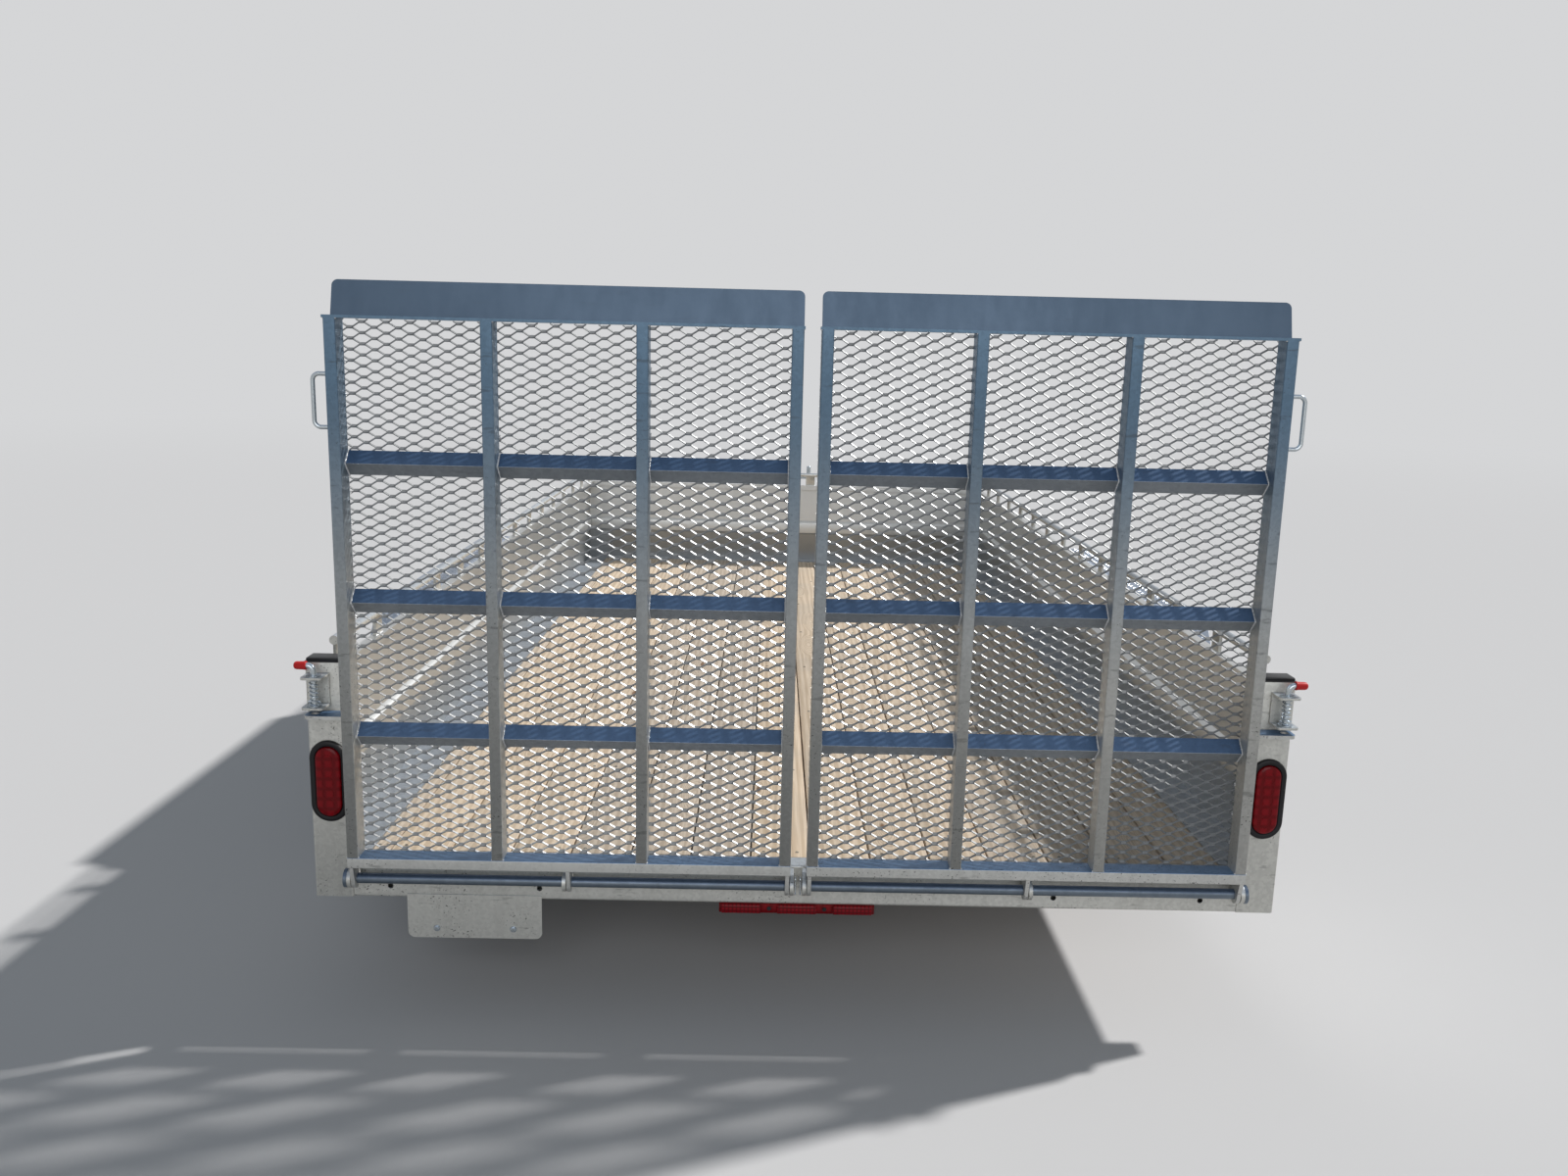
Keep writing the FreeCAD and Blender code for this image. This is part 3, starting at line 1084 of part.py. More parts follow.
def fenders():
    """Angular fenders over both wheels of a side."""
    middle = worth(f"{REAR} + axle_centre")
    inner = worth("bed_half")
    outer = worth(FENDER_OUTER)
    thick = worth("fender_thick")
    top = worth("fender_top")
    flat = worth("fender_flat")
    reach = flat + worth("fender_run")
    knee = top - worth("fender_drop")
    low = knee - worth("fender_end")
    slope = math.atan2(worth("fender_drop"), worth("fender_run"))

    def profile(x, inset, foot):
        # each corner keeps the inset along both of its sides
        crown = inset * math.tan(slope / 2)
        bend = inset * math.tan((math.pi / 2 - slope) / 2)
        side = [(reach - inset, foot), (reach - inset, knee - bend), (flat - crown, top - inset)]
        return ([(x, middle + across, height) for across, height in side]
                + [(x, middle - across, height) for across, height in reversed(side)])

    whole = prism(profile(inner, 0, low), (outer - inner, 0, 0))
    hollow = prism(profile(inner - 1, thick, low - 1), (outer - inner + 1 - thick, 0, 0))
    open_side = prism(profile(inner - 1, worth("fender_skirt"), low - 1), (outer - inner + 2, 0, 0))
    right = whole.cut(hollow).cut(open_side).removeSplitter()
    node("fender_right", [coded("fender_right", right)])
    node("fender_left", [coded("fender_left", right.mirror(Vector(), Vector(1, 0, 0)))])


def tongue():
    """A-frame arms and the gusset that ties them."""
    front = worth(FRONT)
    spread = worth("tongue_spread")
    nose = worth("tongue_nose")
    end = worth(ARM_END)
    low = worth(RAIL_BOTTOM)
    height = worth("rail_height")
    wall = worth("tube_wall")
    lean = math.atan2(spread - nose, end - front)
    across = worth("tongue_width") / math.cos(lean)
    thin = wall / math.cos(lean)

    def arm_outline(z, inset, tip):
        outer = -inset
        inner = inset - across
        far = nose + (end - tip) * math.tan(lean)
        return [(spread + outer, front, z), (far + outer, tip, z), (far + inner, tip, z),
                (spread + inner, front, z)]

    whole = prism(arm_outline(low, 0, end), (0, 0, height))
    core = prism(arm_outline(low + wall, thin, end - wall), (0, 0, height - 2 * wall))
    right_half = Part.makeBox(2 * spread, 2 * (end - front), 2 * height,
                              Vector(1, front - 1, low - height / 2))
    right = whole.cut(core).common(right_half)
    node("tongue_arm_right", [coded("tongue_arm_right", right)])
    node("tongue_arm_left", [coded("tongue_arm_left", right.mirror(Vector(), Vector(1, 0, 0)))])

    top = low + height
    tip = end - worth("arm_lap")
    rear = tip - worth("gusset_length")
    half = nose + math.tan(lean) * (end - rear)
    tip_half = nose + math.tan(lean) * (end - tip)
    gusset = prism([(-half, rear, top), (half, rear, top), (tip_half, tip, top), (-tip_half, tip, top)],
                   (0, 0, worth("gusset_thick")))
    hole = Part.makeCylinder(worth("jack_radius + gusset_slack"), worth("gusset_thick") + 2,
                             Vector(0, worth(JACK_Y), top - 1))
    node("tongue_gusset", [coded("tongue_gusset", gusset.cut(hole))])


def coupler():
    """Coupler: a channel on a foot, domed over its ball socket, with a lever on top."""
    rear = f"({NOSE} - coupler_length)"
    floor = "deck_height"
    crown = "(deck_height + coupler_crown)"
    half = "coupler_throat / 2"
    channel = box("coupler_block", (f"-{half}", half), (rear, BALL_Y), (floor, crown))
    peak = worth(crown) - NEAR
    channel = eased("coupler_channel", channel, "coupler_round",
                    lambda edge: lies_along(edge, "y") and edge.BoundBox.ZMin > peak)
    dome = rod("dome_block", ("0", BALL_Y, floor), "z", "coupler_width / 2", "coupler_crown")
    dome = eased("coupler_dome", dome, "dome_round", lambda edge: edge.BoundBox.ZMin > peak)
    foot = box("coupler_foot", ("-coupler_foot_width / 2", "coupler_foot_width / 2"),
               (rear, f"{rear} + coupler_foot"), (floor, f"{floor} + coupler_wall"))
    foot = eased("coupler_foot_eased", foot, "coupler_round", lambda edge: lies_along(edge, "z"))
    whole = fuse("coupler_whole", [channel, dome, foot])
    inner = "(coupler_throat / 2 - coupler_wall)"
    trench = box("coupler_trench", (f"-{inner}", inner),
                 (f"{rear} - 1", f"{BALL_Y} - coupler_width / 2 - coupler_wall"),
                 (f"{floor} - 1", f"{crown} - coupler_wall"))
    socket = rod("coupler_socket", ("0", BALL_Y, f"{floor} - 1"), "z", "ball_radius + ball_slack",
                 f"{SOCKET_LENGTH} + 1")
    node("coupler", [cut("coupler", whole, fuse("coupler_hollows", [trench, socket]))])
    lever = box("lever_block", ("-lever_width / 2", "lever_width / 2"),
                (f"{rear} + lever_back", f"{NOSE} - coupler_width"), (crown, f"{crown} + lever_thick"))
    node("coupler_lever", [eased("coupler_lever", lever, "lever_round", lambda edge: lies_along(edge, "z"))])


def jack():
    """Tongue jack: fixed outer tube with crank, and the leg that winds out of it."""
    outer = rod("jack_outer", ("0", JACK_Y, "jack_bottom"), "z", "jack_radius", "jack_top - jack_bottom")
    bore = rod("jack_bore", ("0", JACK_Y, "jack_bottom - 1"), "z", "jack_radius - jack_wall",
               "jack_top - jack_bottom - jack_lid")
    plate_low = "(deck_height + gusset_thick)"
    collar = box("collar_block", ("-collar_half_width", "collar_half_width"),
                 (f"{JACK_Y} - collar_half_depth", f"{JACK_Y} + collar_half_depth"),
                 (plate_low, f"{plate_low} + collar_thick"))
    collar = eased("jack_collar", collar, "collar_round", lambda edge: lies_along(edge, "z"))
    hollow = cut("jack_housing_solid", fuse("jack_housing_full", [outer, collar]), bore)
    node("jack_housing", [hollow])
    bar_low = "(jack_top + crank_rise)"
    shaft = rod("crank_shaft", ("0", JACK_Y, "jack_top"), "z", "shaft_radius", "crank_rise + crank_thick / 2")
    depth = (f"{JACK_Y} - crank_bar / 2", f"{JACK_Y} + crank_bar / 2")
    bar = box("crank_block", ("-crank_bar / 2", "crank_reach"), depth, (bar_low, f"{bar_low} + crank_thick"))
    bar = eased("crank_bar_eased", bar, "crank_bar * 0.4", lambda edge: lies_along(edge, "z"))
    knob = rod("knob_block", ("crank_reach - knob_inset", JACK_Y, bar_low), "z", "knob_radius", "knob_height")
    tip = worth(f"{bar_low} + knob_height") - NEAR
    knob = eased("crank_knob", knob, "knob_round", lambda edge: edge.BoundBox.ZMin > tip)
    node("jack_crank", [fuse("jack_crank", [shaft, bar, knob])])
    leg = rod("jack_leg_tube", ("0", JACK_Y, "0"), "z", "jack_radius - jack_wall - jack_slack",
              "jack_top - jack_travel - leg_reach")
    foot = box("foot_block", ("-foot_size / 2", "foot_size / 2"),
               (f"{JACK_Y} - foot_size / 2", f"{JACK_Y} + foot_size / 2"), ("0", "foot_thick"))
    foot = eased("jack_foot", foot, "collar_round", lambda edge: lies_along(edge, "z"))
    node("jack_leg", [fuse("jack_leg", [leg, foot])])


def finish():
    """Recompute, check every object and write each sub-part's file."""
    doc.recompute()
    for thing in doc.Objects:
        if "Invalid" in thing.State or "Error" in thing.State:
            raise RuntimeError(f"{thing.Name} failed: {thing.State}")
    os.makedirs("parts", exist_ok=True)
    for part in NODES:
        shape = part.Shape
        if shape.isNull() or not shape.isValid() or not shape.Solids:
            raise RuntimeError(f"{part.Label} has no valid solid")
        shape.exportStep(f"parts/{part.Label}.step")
    whole = Part.makeCompound([part.Shape for part in NODES]).BoundBox
    spans = (whole.XMin, whole.XMax, whole.YMin, whole.YMax, whole.ZMin, whole.ZMax)
    print(len(NODES), "nodes", [round(value, 1) for value in spans])


frame_parts()
deck()
walls()
tie_rails()
posts()
sill_fittings()
hinges()
latches()
shared = (lip_plate(), handle(), mesh_panel())
gate("right", 1, *shared)
gate("left", -1, *shared)
axles()
wheels()
fenders()
tongue()
coupler()
jack()
finish()
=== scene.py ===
"""Finishes and fine pieces of a galvanised utility trailer with two ramp gates.

Metres, +Z up, +Y to the towing end, +X to the right seen from behind, on the frame's own origin.
"""

import logging
import math
import random
from collections.abc import Callable, Iterable, Sequence
from dataclasses import dataclass
from enum import Enum
from functools import cache, wraps

import bmesh
import bpy
from bmesh.types import BMesh, BMVert
from bpy.types import Material, Mesh, Node, NodeSocket, NodeTree, Object
from mathutils import Matrix, Vector


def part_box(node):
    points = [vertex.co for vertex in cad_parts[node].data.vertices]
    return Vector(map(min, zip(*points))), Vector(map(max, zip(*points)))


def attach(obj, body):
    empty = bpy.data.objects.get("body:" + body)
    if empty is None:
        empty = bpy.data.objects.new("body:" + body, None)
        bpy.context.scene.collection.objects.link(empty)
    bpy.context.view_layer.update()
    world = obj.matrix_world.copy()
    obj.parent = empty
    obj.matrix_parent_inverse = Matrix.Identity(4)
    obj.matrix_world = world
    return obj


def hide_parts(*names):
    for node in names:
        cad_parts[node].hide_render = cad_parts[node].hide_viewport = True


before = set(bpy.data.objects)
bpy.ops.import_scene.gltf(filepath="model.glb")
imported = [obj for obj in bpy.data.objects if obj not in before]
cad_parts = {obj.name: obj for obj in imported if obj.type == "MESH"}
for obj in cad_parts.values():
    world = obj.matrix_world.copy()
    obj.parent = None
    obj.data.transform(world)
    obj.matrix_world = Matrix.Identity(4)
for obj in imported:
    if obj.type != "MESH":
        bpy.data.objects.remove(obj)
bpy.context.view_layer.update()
WELD_DISTANCE = 1e-5
SMOOTH_ANGLE = math.radians(25)
FLAT_ANGLE = math.radians(0.6)
EDGE_ANGLE = math.radians(35)
TO_TOP = Matrix.Rotation(-math.pi / 2, 4, "Y")
TO_REAR = Matrix.Rotation(-math.pi / 2, 4, "Z")
WELD_STEP = 1.15  # of a drop's radius
SHORTEST_EDGE = 2.5  # of the rounding's reach
MIX_A, MIX_B, MIX_RESULT = 6, 7, 2  # the Mix node's colour sockets
SIZE_FROM, SIZE_TO, SIZE_RESULT = 2, 3, 1  # the Random Value node's number sockets
# the two colours below paint a sky reflection on zinc coats: the first on upward faces, the second on higher
# parts
PAINTED_SKY_COLOUR = (0.24, 0.42, 0.74)
PAINTED_SKY_HIGH_COLOUR = (0.13, 0.29, 0.49)
SPECK_COLOUR = (0.055, 0.054, 0.052)
shift = Matrix.Translation

Colour = tuple[float, float, float]
Point = Sequence[float]
log = logging.getLogger("trailer")


@dataclass(frozen=True)
class Flow:
    """A node's output, with arithmetic that writes Math nodes."""

    tree: "Tree"
    socket: NodeSocket

    def __add__(self, other: "Setting") -> "Flow":
        """The sum."""
        return self.tree.maths("ADD", self, other)

    def __sub__(self, other: "Setting") -> "Flow":
        """The difference."""
        return self.tree.maths("SUBTRACT", self, other)

    def __rsub__(self, other: "Setting") -> "Flow":
        """The difference from a number."""
        return self.tree.maths("SUBTRACT", other, self)

    def __mul__(self, other: "Setting") -> "Flow":
        """The product."""
        return self.tree.maths("MULTIPLY", self, other)

    def __truediv__(self, other: "Setting") -> "Flow":
        """The quotient."""
        return self.tree.maths("DIVIDE", self, other)

    def step(self, low: float, high: float) -> "Flow":
        """A smooth step, 0 at low and 1 at high."""
        inputs = {0: self, 1: low, 2: high}
        return self.tree.out("ShaderNodeMapRange", inputs, interpolation_type="SMOOTHSTEP")

    def blend(self, first: "Setting", second: "Setting", blend_type: str = "MIX") -> "Flow":
        """The colour between two colours, by this share."""
        inputs = {0: self, MIX_A: rgba(first), MIX_B: rgba(second)}
        return self.tree.out("ShaderNodeMix", inputs, MIX_RESULT, data_type="RGBA", blend_type=blend_type)


Setting = float | int | bool | str | tuple | Flow


def rgba(colour: Setting) -> Setting:
    """A colour of three numbers with its fourth; anything else as it is."""
    return (*colour, 1.0) if isinstance(colour, tuple) and len(colour) == 3 else colour


class Tree:
    """Writes the nodes and links of one node tree."""

    def __init__(self, tree: NodeTree) -> None:
        """Keeps the tree to write in."""
        self.tree = tree

    def feed(self, value: Setting, target: NodeSocket) -> None:
        """Links a value to an input, or sets the input to it.

        Args:
            value: A flow or a plain value.
            target: The input.
        """
        if isinstance(value, Flow):
            self.tree.links.new(value.socket, target)
        else:
            target.default_value = value

    def add(self, kind: str, inputs: dict[str | int, Setting] | None = None, **settings: object) -> Node:
        """Adds a node.

        Args:
            kind: Blender's name of the node type.
            inputs: Value or flow by the input's name or number.
            settings: The node's own properties.

        Returns:
            The new node.
        """
        node = self.tree.nodes.new(kind)
        for name, value in settings.items():
            setattr(node, name, value)
        for key, value in (inputs or {}).items():
            self.feed(value, node.inputs[key])
        return node

    def out(self, kind: str, inputs: dict[str | int, Setting] | None = None, output: str | int = 0,
            **settings: object) -> Flow:
        """Adds a node, as add does, and gives one of its outputs."""
        return Flow(self, self.add(kind, inputs, **settings).outputs[output])

    def maths(self, operation: str, first: Setting, second: Setting = 0.0) -> Flow:
        """A Math node's result."""
        return self.out("ShaderNodeMath", {0: first, 1: second}, operation=operation)

    def vector(self, *parts: Setting) -> Flow:
        """A vector of X, Y and Z, or of the first of them."""
        return self.out("ShaderNodeCombineXYZ", dict(enumerate(parts)))

    def height(self, vector: Setting) -> Flow:
        """A vector's Z."""
        return self.out("ShaderNodeSeparateXYZ", {0: vector}, 2)

    def noise(self, vector: Setting, scale: Setting, detail: float = 2.0) -> Flow:
        """Fractal noise from 0 to 1."""
        return self.out("ShaderNodeTexNoise", {"Vector": vector, "Scale": scale, "Detail": detail})

    def stretched(self, vector: Setting, scale: Point) -> Flow:
        """Coordinates scaled by axis."""
        return self.out("ShaderNodeMapping", {"Vector": vector, "Scale": scale})

    def shifted(self, vector: Setting, *parts: Setting) -> Flow:
        """Coordinates moved by X and Y."""
        return self.out("ShaderNodeVectorMath", {0: vector, 1: self.vector(*parts)}, operation="ADD")

    def seen(self) -> Flow:
        """1 for the camera's rays and for mirrored and clear ones, else 0.

        Returns:
            The flow.
        """
        rays = self.add("ShaderNodeLightPath").outputs
        kinds = ("Camera", "Glossy", "Transmission")
        camera, glossy, clear = (Flow(self, rays[f"Is {kind} Ray"]) for kind in kinds)
        return self.maths("MAXIMUM", camera, self.maths("MAXIMUM", glossy, clear))


Writer = Callable[[Tree, dict[str, Flow]], dict[str, Flow]]
SURFACE = {"Colour": "Color", "Roughness": "Float", "Height": "Float"}
GEOMETRY = {"Geometry": "Geometry"}
COATED = GEOMETRY | {"Material": "Material"}


def node_group(kind: str, inputs: dict[str, str], outputs: dict[str, str]) -> Callable[[Writer], Callable]:
    """Turns a function that writes a tree into one that gives its node group, built once.

    Args:
        kind: ShaderNodeTree or GeometryNodeTree.
        inputs: Socket type by name.
        outputs: Socket type by name.

    Returns:
        The decorator.
    """
    def wrap(write: Writer) -> Callable[[], NodeTree]:
        """Wraps the writer.

        Args:
            write: The function that writes the tree.

        Returns:
            The function that gives the group.
        """
        @cache
        @wraps(write)
        def build() -> NodeTree:
            """Builds the group.

            Returns:
                The group.
            """
            group = bpy.data.node_groups.new(write.__name__, kind)
            for direction, sockets in (("INPUT", inputs), ("OUTPUT", outputs)):
                for label, socket in sockets.items():
                    group.interface.new_socket(
                        name=label, in_out=direction, socket_type=f"NodeSocket{socket}")
            tree = Tree(group)
            start, end = tree.add("NodeGroupInput"), tree.add("NodeGroupOutput")
            for name, flow in write(tree, {name: Flow(tree, start.outputs[name]) for name in inputs}).items():
                tree.feed(flow, end.inputs[name])
            return group
        return build
    return wrap


@node_group("ShaderNodeTree", {
    "Vector": "Vector", "Crystals": "Float", "Mottle": "Float", "Specks": "Float", "Gloss": "Float",
    "Cool": "Float", "Sky": "Float", "Dark": "Color", "Light": "Color"}, SURFACE)
def zinc_bloom(tree: Tree, given: dict[str, Flow]) -> dict[str, Flow]:
    """Crystals, clouds, runs and dark specks of a zinc coat, with a painted sky reflection that makes it
    bluer higher up and on upward faces.

    Args:
        tree: The group's tree.
        given: The group's inputs.

    Returns:
        The group's outputs.
    """
    place = given["Vector"]
    cells = tree.out("ShaderNodeTexVoronoi", {"Vector": place, "Scale": given["Crystals"]}, "Color")
    shade = tree.out("ShaderNodeSeparateColor", {0: cells})
    clouds = tree.noise(place, 3.0, 6.0)
    runs = tree.noise(tree.stretched(place, (40.0, 40.0, 3.0)), 1.0, 4.0)
    tone = (clouds * 0.62 + runs * 0.38 + (shade - 0.5) * given["Mottle"]).step(0.22, 0.78)
    colour = tone.blend(given["Dark"], given["Light"])
    level = tree.height(place)
    # painted sky reflection: bluer and darker higher up, by the Cool share
    cool = level.step(0.75, 1.5) * given["Cool"]
    colour = cool.blend(colour, PAINTED_SKY_HIGH_COLOUR, "MULTIPLY")
    # painted sky reflection on faces that look upwards, by the Sky share
    painted_sky_sheen = tree.height(tree.out("ShaderNodeTexCoord", output="Normal")).step(0.15, 0.62) * given["Sky"]
    colour = painted_sky_sheen.blend(colour, PAINTED_SKY_COLOUR, "MULTIPLY")
    grains = tree.noise(place, 210.0).step(0.63, 0.70) * tree.noise(place, 9.0, 3.0).step(0.47, 0.62)
    specks = grains * ((1.0 - level.step(0.5, 1.3) * 0.6) * given["Specks"])
    scuffs = tree.noise(tree.stretched(place, (14.0, 70.0, 70.0)), 1.0, 6.0).step(0.62, 0.70)
    marks = tree.maths("MAXIMUM", specks, scuffs * (given["Specks"] * 0.35))
    return {"Colour": marks.blend(colour, SPECK_COLOUR),
            "Roughness": given["Gloss"] + (tone - 0.5) * -0.12 + marks * 0.3,
            "Height": tree.noise(place, 60.0, 4.0) * 0.7 + shade * 0.12 + specks * 0.5}


@node_group("ShaderNodeTree", {"Vector": "Vector", "Top": "Float", "Amount": "Float"}, {"Mask": "Float"})
def road_dust(tree: Tree, given: dict[str, Flow]) -> dict[str, Flow]:
    """A mask of dust that thins out upwards from the road.

    Args:
        tree: The group's tree.
        given: The group's inputs.

    Returns:
        The group's outputs.
    """
    place = given["Vector"]
    fade = tree.maths("MAXIMUM", 1.0 - tree.height(place) / given["Top"], 0.12)
    return {"Mask": fade * tree.noise(place, 9.0, 6.0).step(0.3, 0.75) * given["Amount"]}


@node_group("ShaderNodeTree", {"Vector": "Vector", "Board": "Float"}, SURFACE)
def pine_grain(tree: Tree, given: dict[str, Flow]) -> dict[str, Flow]:
    """Grain, knots and weathering of sawn pine boards that run along Y.

    Args:
        tree: The group's tree.
        given: The group's inputs.

    Returns:
        The group's outputs.
    """
    board = given["Board"]
    place = tree.shifted(given["Vector"], board * 3.7, board * 23.0)
    knots = tree.out("ShaderNodeTexVoronoi", {"Vector": tree.stretched(place, (9.0, 2.1, 0.0)), "Scale": 1.0,
                                              "Randomness": 1.0}, "Distance")
    bent = tree.shifted(place, knots.step(0.42, 0.0) * 0.16)
    rings = tree.out("ShaderNodeTexWave", {
        "Vector": tree.stretched(bent, (1.0, 0.045, 1.0)), "Scale": 14.0, "Distortion": 5.5, "Detail": 3.0,
        "Detail Scale": 1.6}, "Fac", wave_type="BANDS", bands_direction="X")
    fibres = tree.noise(tree.stretched(place, (210.0, 5.0, 210.0)), 1.0, 6.0)
    colour = rings.step(0.15, 0.95).blend((0.66, 0.535, 0.40), (0.53, 0.41, 0.285))
    colour = (fibres.step(0.42, 0.7) * 0.34).blend(colour, (0.33, 0.235, 0.145))
    colour = tree.out("ShaderNodeHueSaturation", {
        "Color": colour, "Value": board * 0.30 + 0.84, "Saturation": board * 0.26 + 0.70})
    colour = (knots.step(0.085, 0.045) * 0.85).blend(colour, (0.15, 0.068, 0.026))
    weathered = tree.noise(place, 3.1, 5.0).step(0.48, 0.74) * 0.34
    return {"Colour": weathered.blend(colour, (0.42, 0.385, 0.34)), "Roughness": fibres * 0.2 + 0.62,
            "Height": fibres * 0.7 + rings * 0.3}


def new_material(name: str) -> tuple[Material, Tree, Node, Flow]:
    """Adds a material.

    Args:
        name: The material's name.

    Returns:
        The material, its tree, its shader and its Object coordinates.
    """
    material = bpy.data.materials.new(name)
    material.use_nodes = True
    tree = Tree(material.node_tree)
    shader = material.node_tree.nodes["Principled BSDF"]
    return material, tree, shader, tree.out("ShaderNodeTexCoord", output="Object")


@dataclass(frozen=True)
class Coat:
    """A finish; each kind of coat writes its own surface."""

    name: str

    def surface(self, tree: Tree, place: Flow) -> dict[str, Setting]:
        """The shader's inputs, by name."""
        raise NotImplementedError

    def material(self) -> Material:
        """Builds the finish.

        Returns:
            The material.
        """
        material, tree, shader, place = new_material(self.name)
        for name, value in self.surface(tree, place).items():
            tree.feed(value, shader.inputs[name])
        return material

    @staticmethod
    def dusted(tree: Tree, place: Flow, colour: Flow, top: float, amount: float, dust: Colour) -> Flow:
        """A colour with road dust on it, up to a height.

        Args:
            tree: The material's tree.
            place: Its coordinates.
            colour: The clean colour.
            top: The height that the dust reaches.
            amount: How much dust there is.
            dust: The dust's colour.

        Returns:
            The colour.
        """
        if amount <= 0.0:
            return colour
        inputs = {"Vector": place, "Top": top, "Amount": amount}
        return tree.out("ShaderNodeGroup", inputs, node_tree=road_dust()).blend(colour, dust)

    @staticmethod
    def bump(tree: Tree, strength: float, distance: float, height: Flow) -> Flow:
        """The normal of a fine relief."""
        return tree.out("ShaderNodeBump", {"Strength": strength, "Distance": distance, "Height": height})


@dataclass(frozen=True)
class Zinc(Coat):
    """A zinc coat on steel."""

    dark: Colour
    light: Colour
    crystals: float
    mottle: float
    specks: float
    gloss: float
    metallic: float
    relief: float
    dust: float = 0.0
    # cool and sky are the shares of painted sky reflection, higher up and on upward faces
    cool: float = 0.0
    sky: float = 0.4

    def surface(self, tree: Tree, place: Flow) -> dict[str, Setting]:
        """Writes a zinc coat with dust on it.

        Args:
            tree: The material's tree.
            place: Its coordinates.

        Returns:
            The shader's inputs, by name.
        """
        bloom = tree.add("ShaderNodeGroup", node_tree=zinc_bloom())
        tree.feed(place, bloom.inputs["Vector"])
        for name in ("Crystals", "Mottle", "Specks", "Gloss", "Cool", "Sky", "Dark", "Light"):
            bloom.inputs[name].default_value = rgba(getattr(self, name.lower()))
        colour, rough, height = (Flow(tree, bloom.outputs[name]) for name in SURFACE)
        return {"Base Color": self.dusted(tree, place, colour, 0.5, self.dust, (0.30, 0.265, 0.22)),
                "Roughness": rough, "Normal": self.bump(tree, self.relief, 0.0006, height),
                "Metallic": self.metallic}


@dataclass(frozen=True)
class Moulded(Coat):
    """Rubber, vinyl or plastic of one colour, with a fine bloom and dust."""

    colour: Colour
    worn: Colour
    roughness: float
    grain: float
    dust: float = 0.0

    def surface(self, tree: Tree, place: Flow) -> dict[str, Setting]:
        """Writes a worn colour with dust on it.

        Args:
            tree: The material's tree.
            place: Its coordinates.

        Returns:
            The shader's inputs, by name.
        """
        wear = tree.noise(place, 14.0, 6.0).step(0.38, 0.78)
        colour = (wear * 0.7).blend(self.colour, self.worn)
        return {"Base Color": self.dusted(tree, place, colour, 1.1, self.dust, (0.17, 0.15, 0.125)),
                "Roughness": wear * 0.12 + self.roughness,
                "Normal": self.bump(tree, 0.35, 0.0004, tree.noise(place, self.grain, 3.0)),
                "Specular IOR Level": 0.25}


@dataclass(frozen=True)
class Lens(Coat):
    """Red lamp plastic with small prisms on its inner side."""

    deep: Colour
    bright: Colour
    prisms: float

    def surface(self, tree: Tree, place: Flow) -> dict[str, Setting]:
        """Writes prisms under a slight haze.

        Args:
            tree: The material's tree.
            place: Its coordinates.

        Returns:
            The shader's inputs, by name.
        """
        cells = tree.out("ShaderNodeTexVoronoi", {
            "Vector": tree.stretched(place, (1.0, 0.0, 1.0)), "Scale": self.prisms, "Randomness": 0.0},
            "Distance", distance="CHEBYCHEV")
        haze = tree.noise(place, 30.0, 3.0)
        return {"Base Color": (cells.step(0.15, 0.5) + haze * 0.35).blend(self.bright, self.deep),
                "Roughness": haze * 0.14 + 0.16, "Normal": self.bump(tree, 0.4, 0.0006, cells),
                "Specular IOR Level": 0.16}


@dataclass(frozen=True)
class Pine(Coat):
    """Sawn pine, each board with its own grain."""

    def surface(self, tree: Tree, place: Flow) -> dict[str, Setting]:
        """Writes the grain of each board.

        Args:
            tree: The material's tree.
            place: Its coordinates.

        Returns:
            The shader's inputs, by name.
        """
        board = tree.out("ShaderNodeAttribute", None, "Fac", attribute_name="board")
        grain = tree.add("ShaderNodeGroup", {"Vector": place, "Board": board}, node_tree=pine_grain())
        colour, rough, height = (Flow(tree, grain.outputs[name]) for name in SURFACE)
        return {"Base Color": colour, "Roughness": rough, "Normal": self.bump(tree, 0.5, 0.0012, height),
                "Specular IOR Level": 0.3}


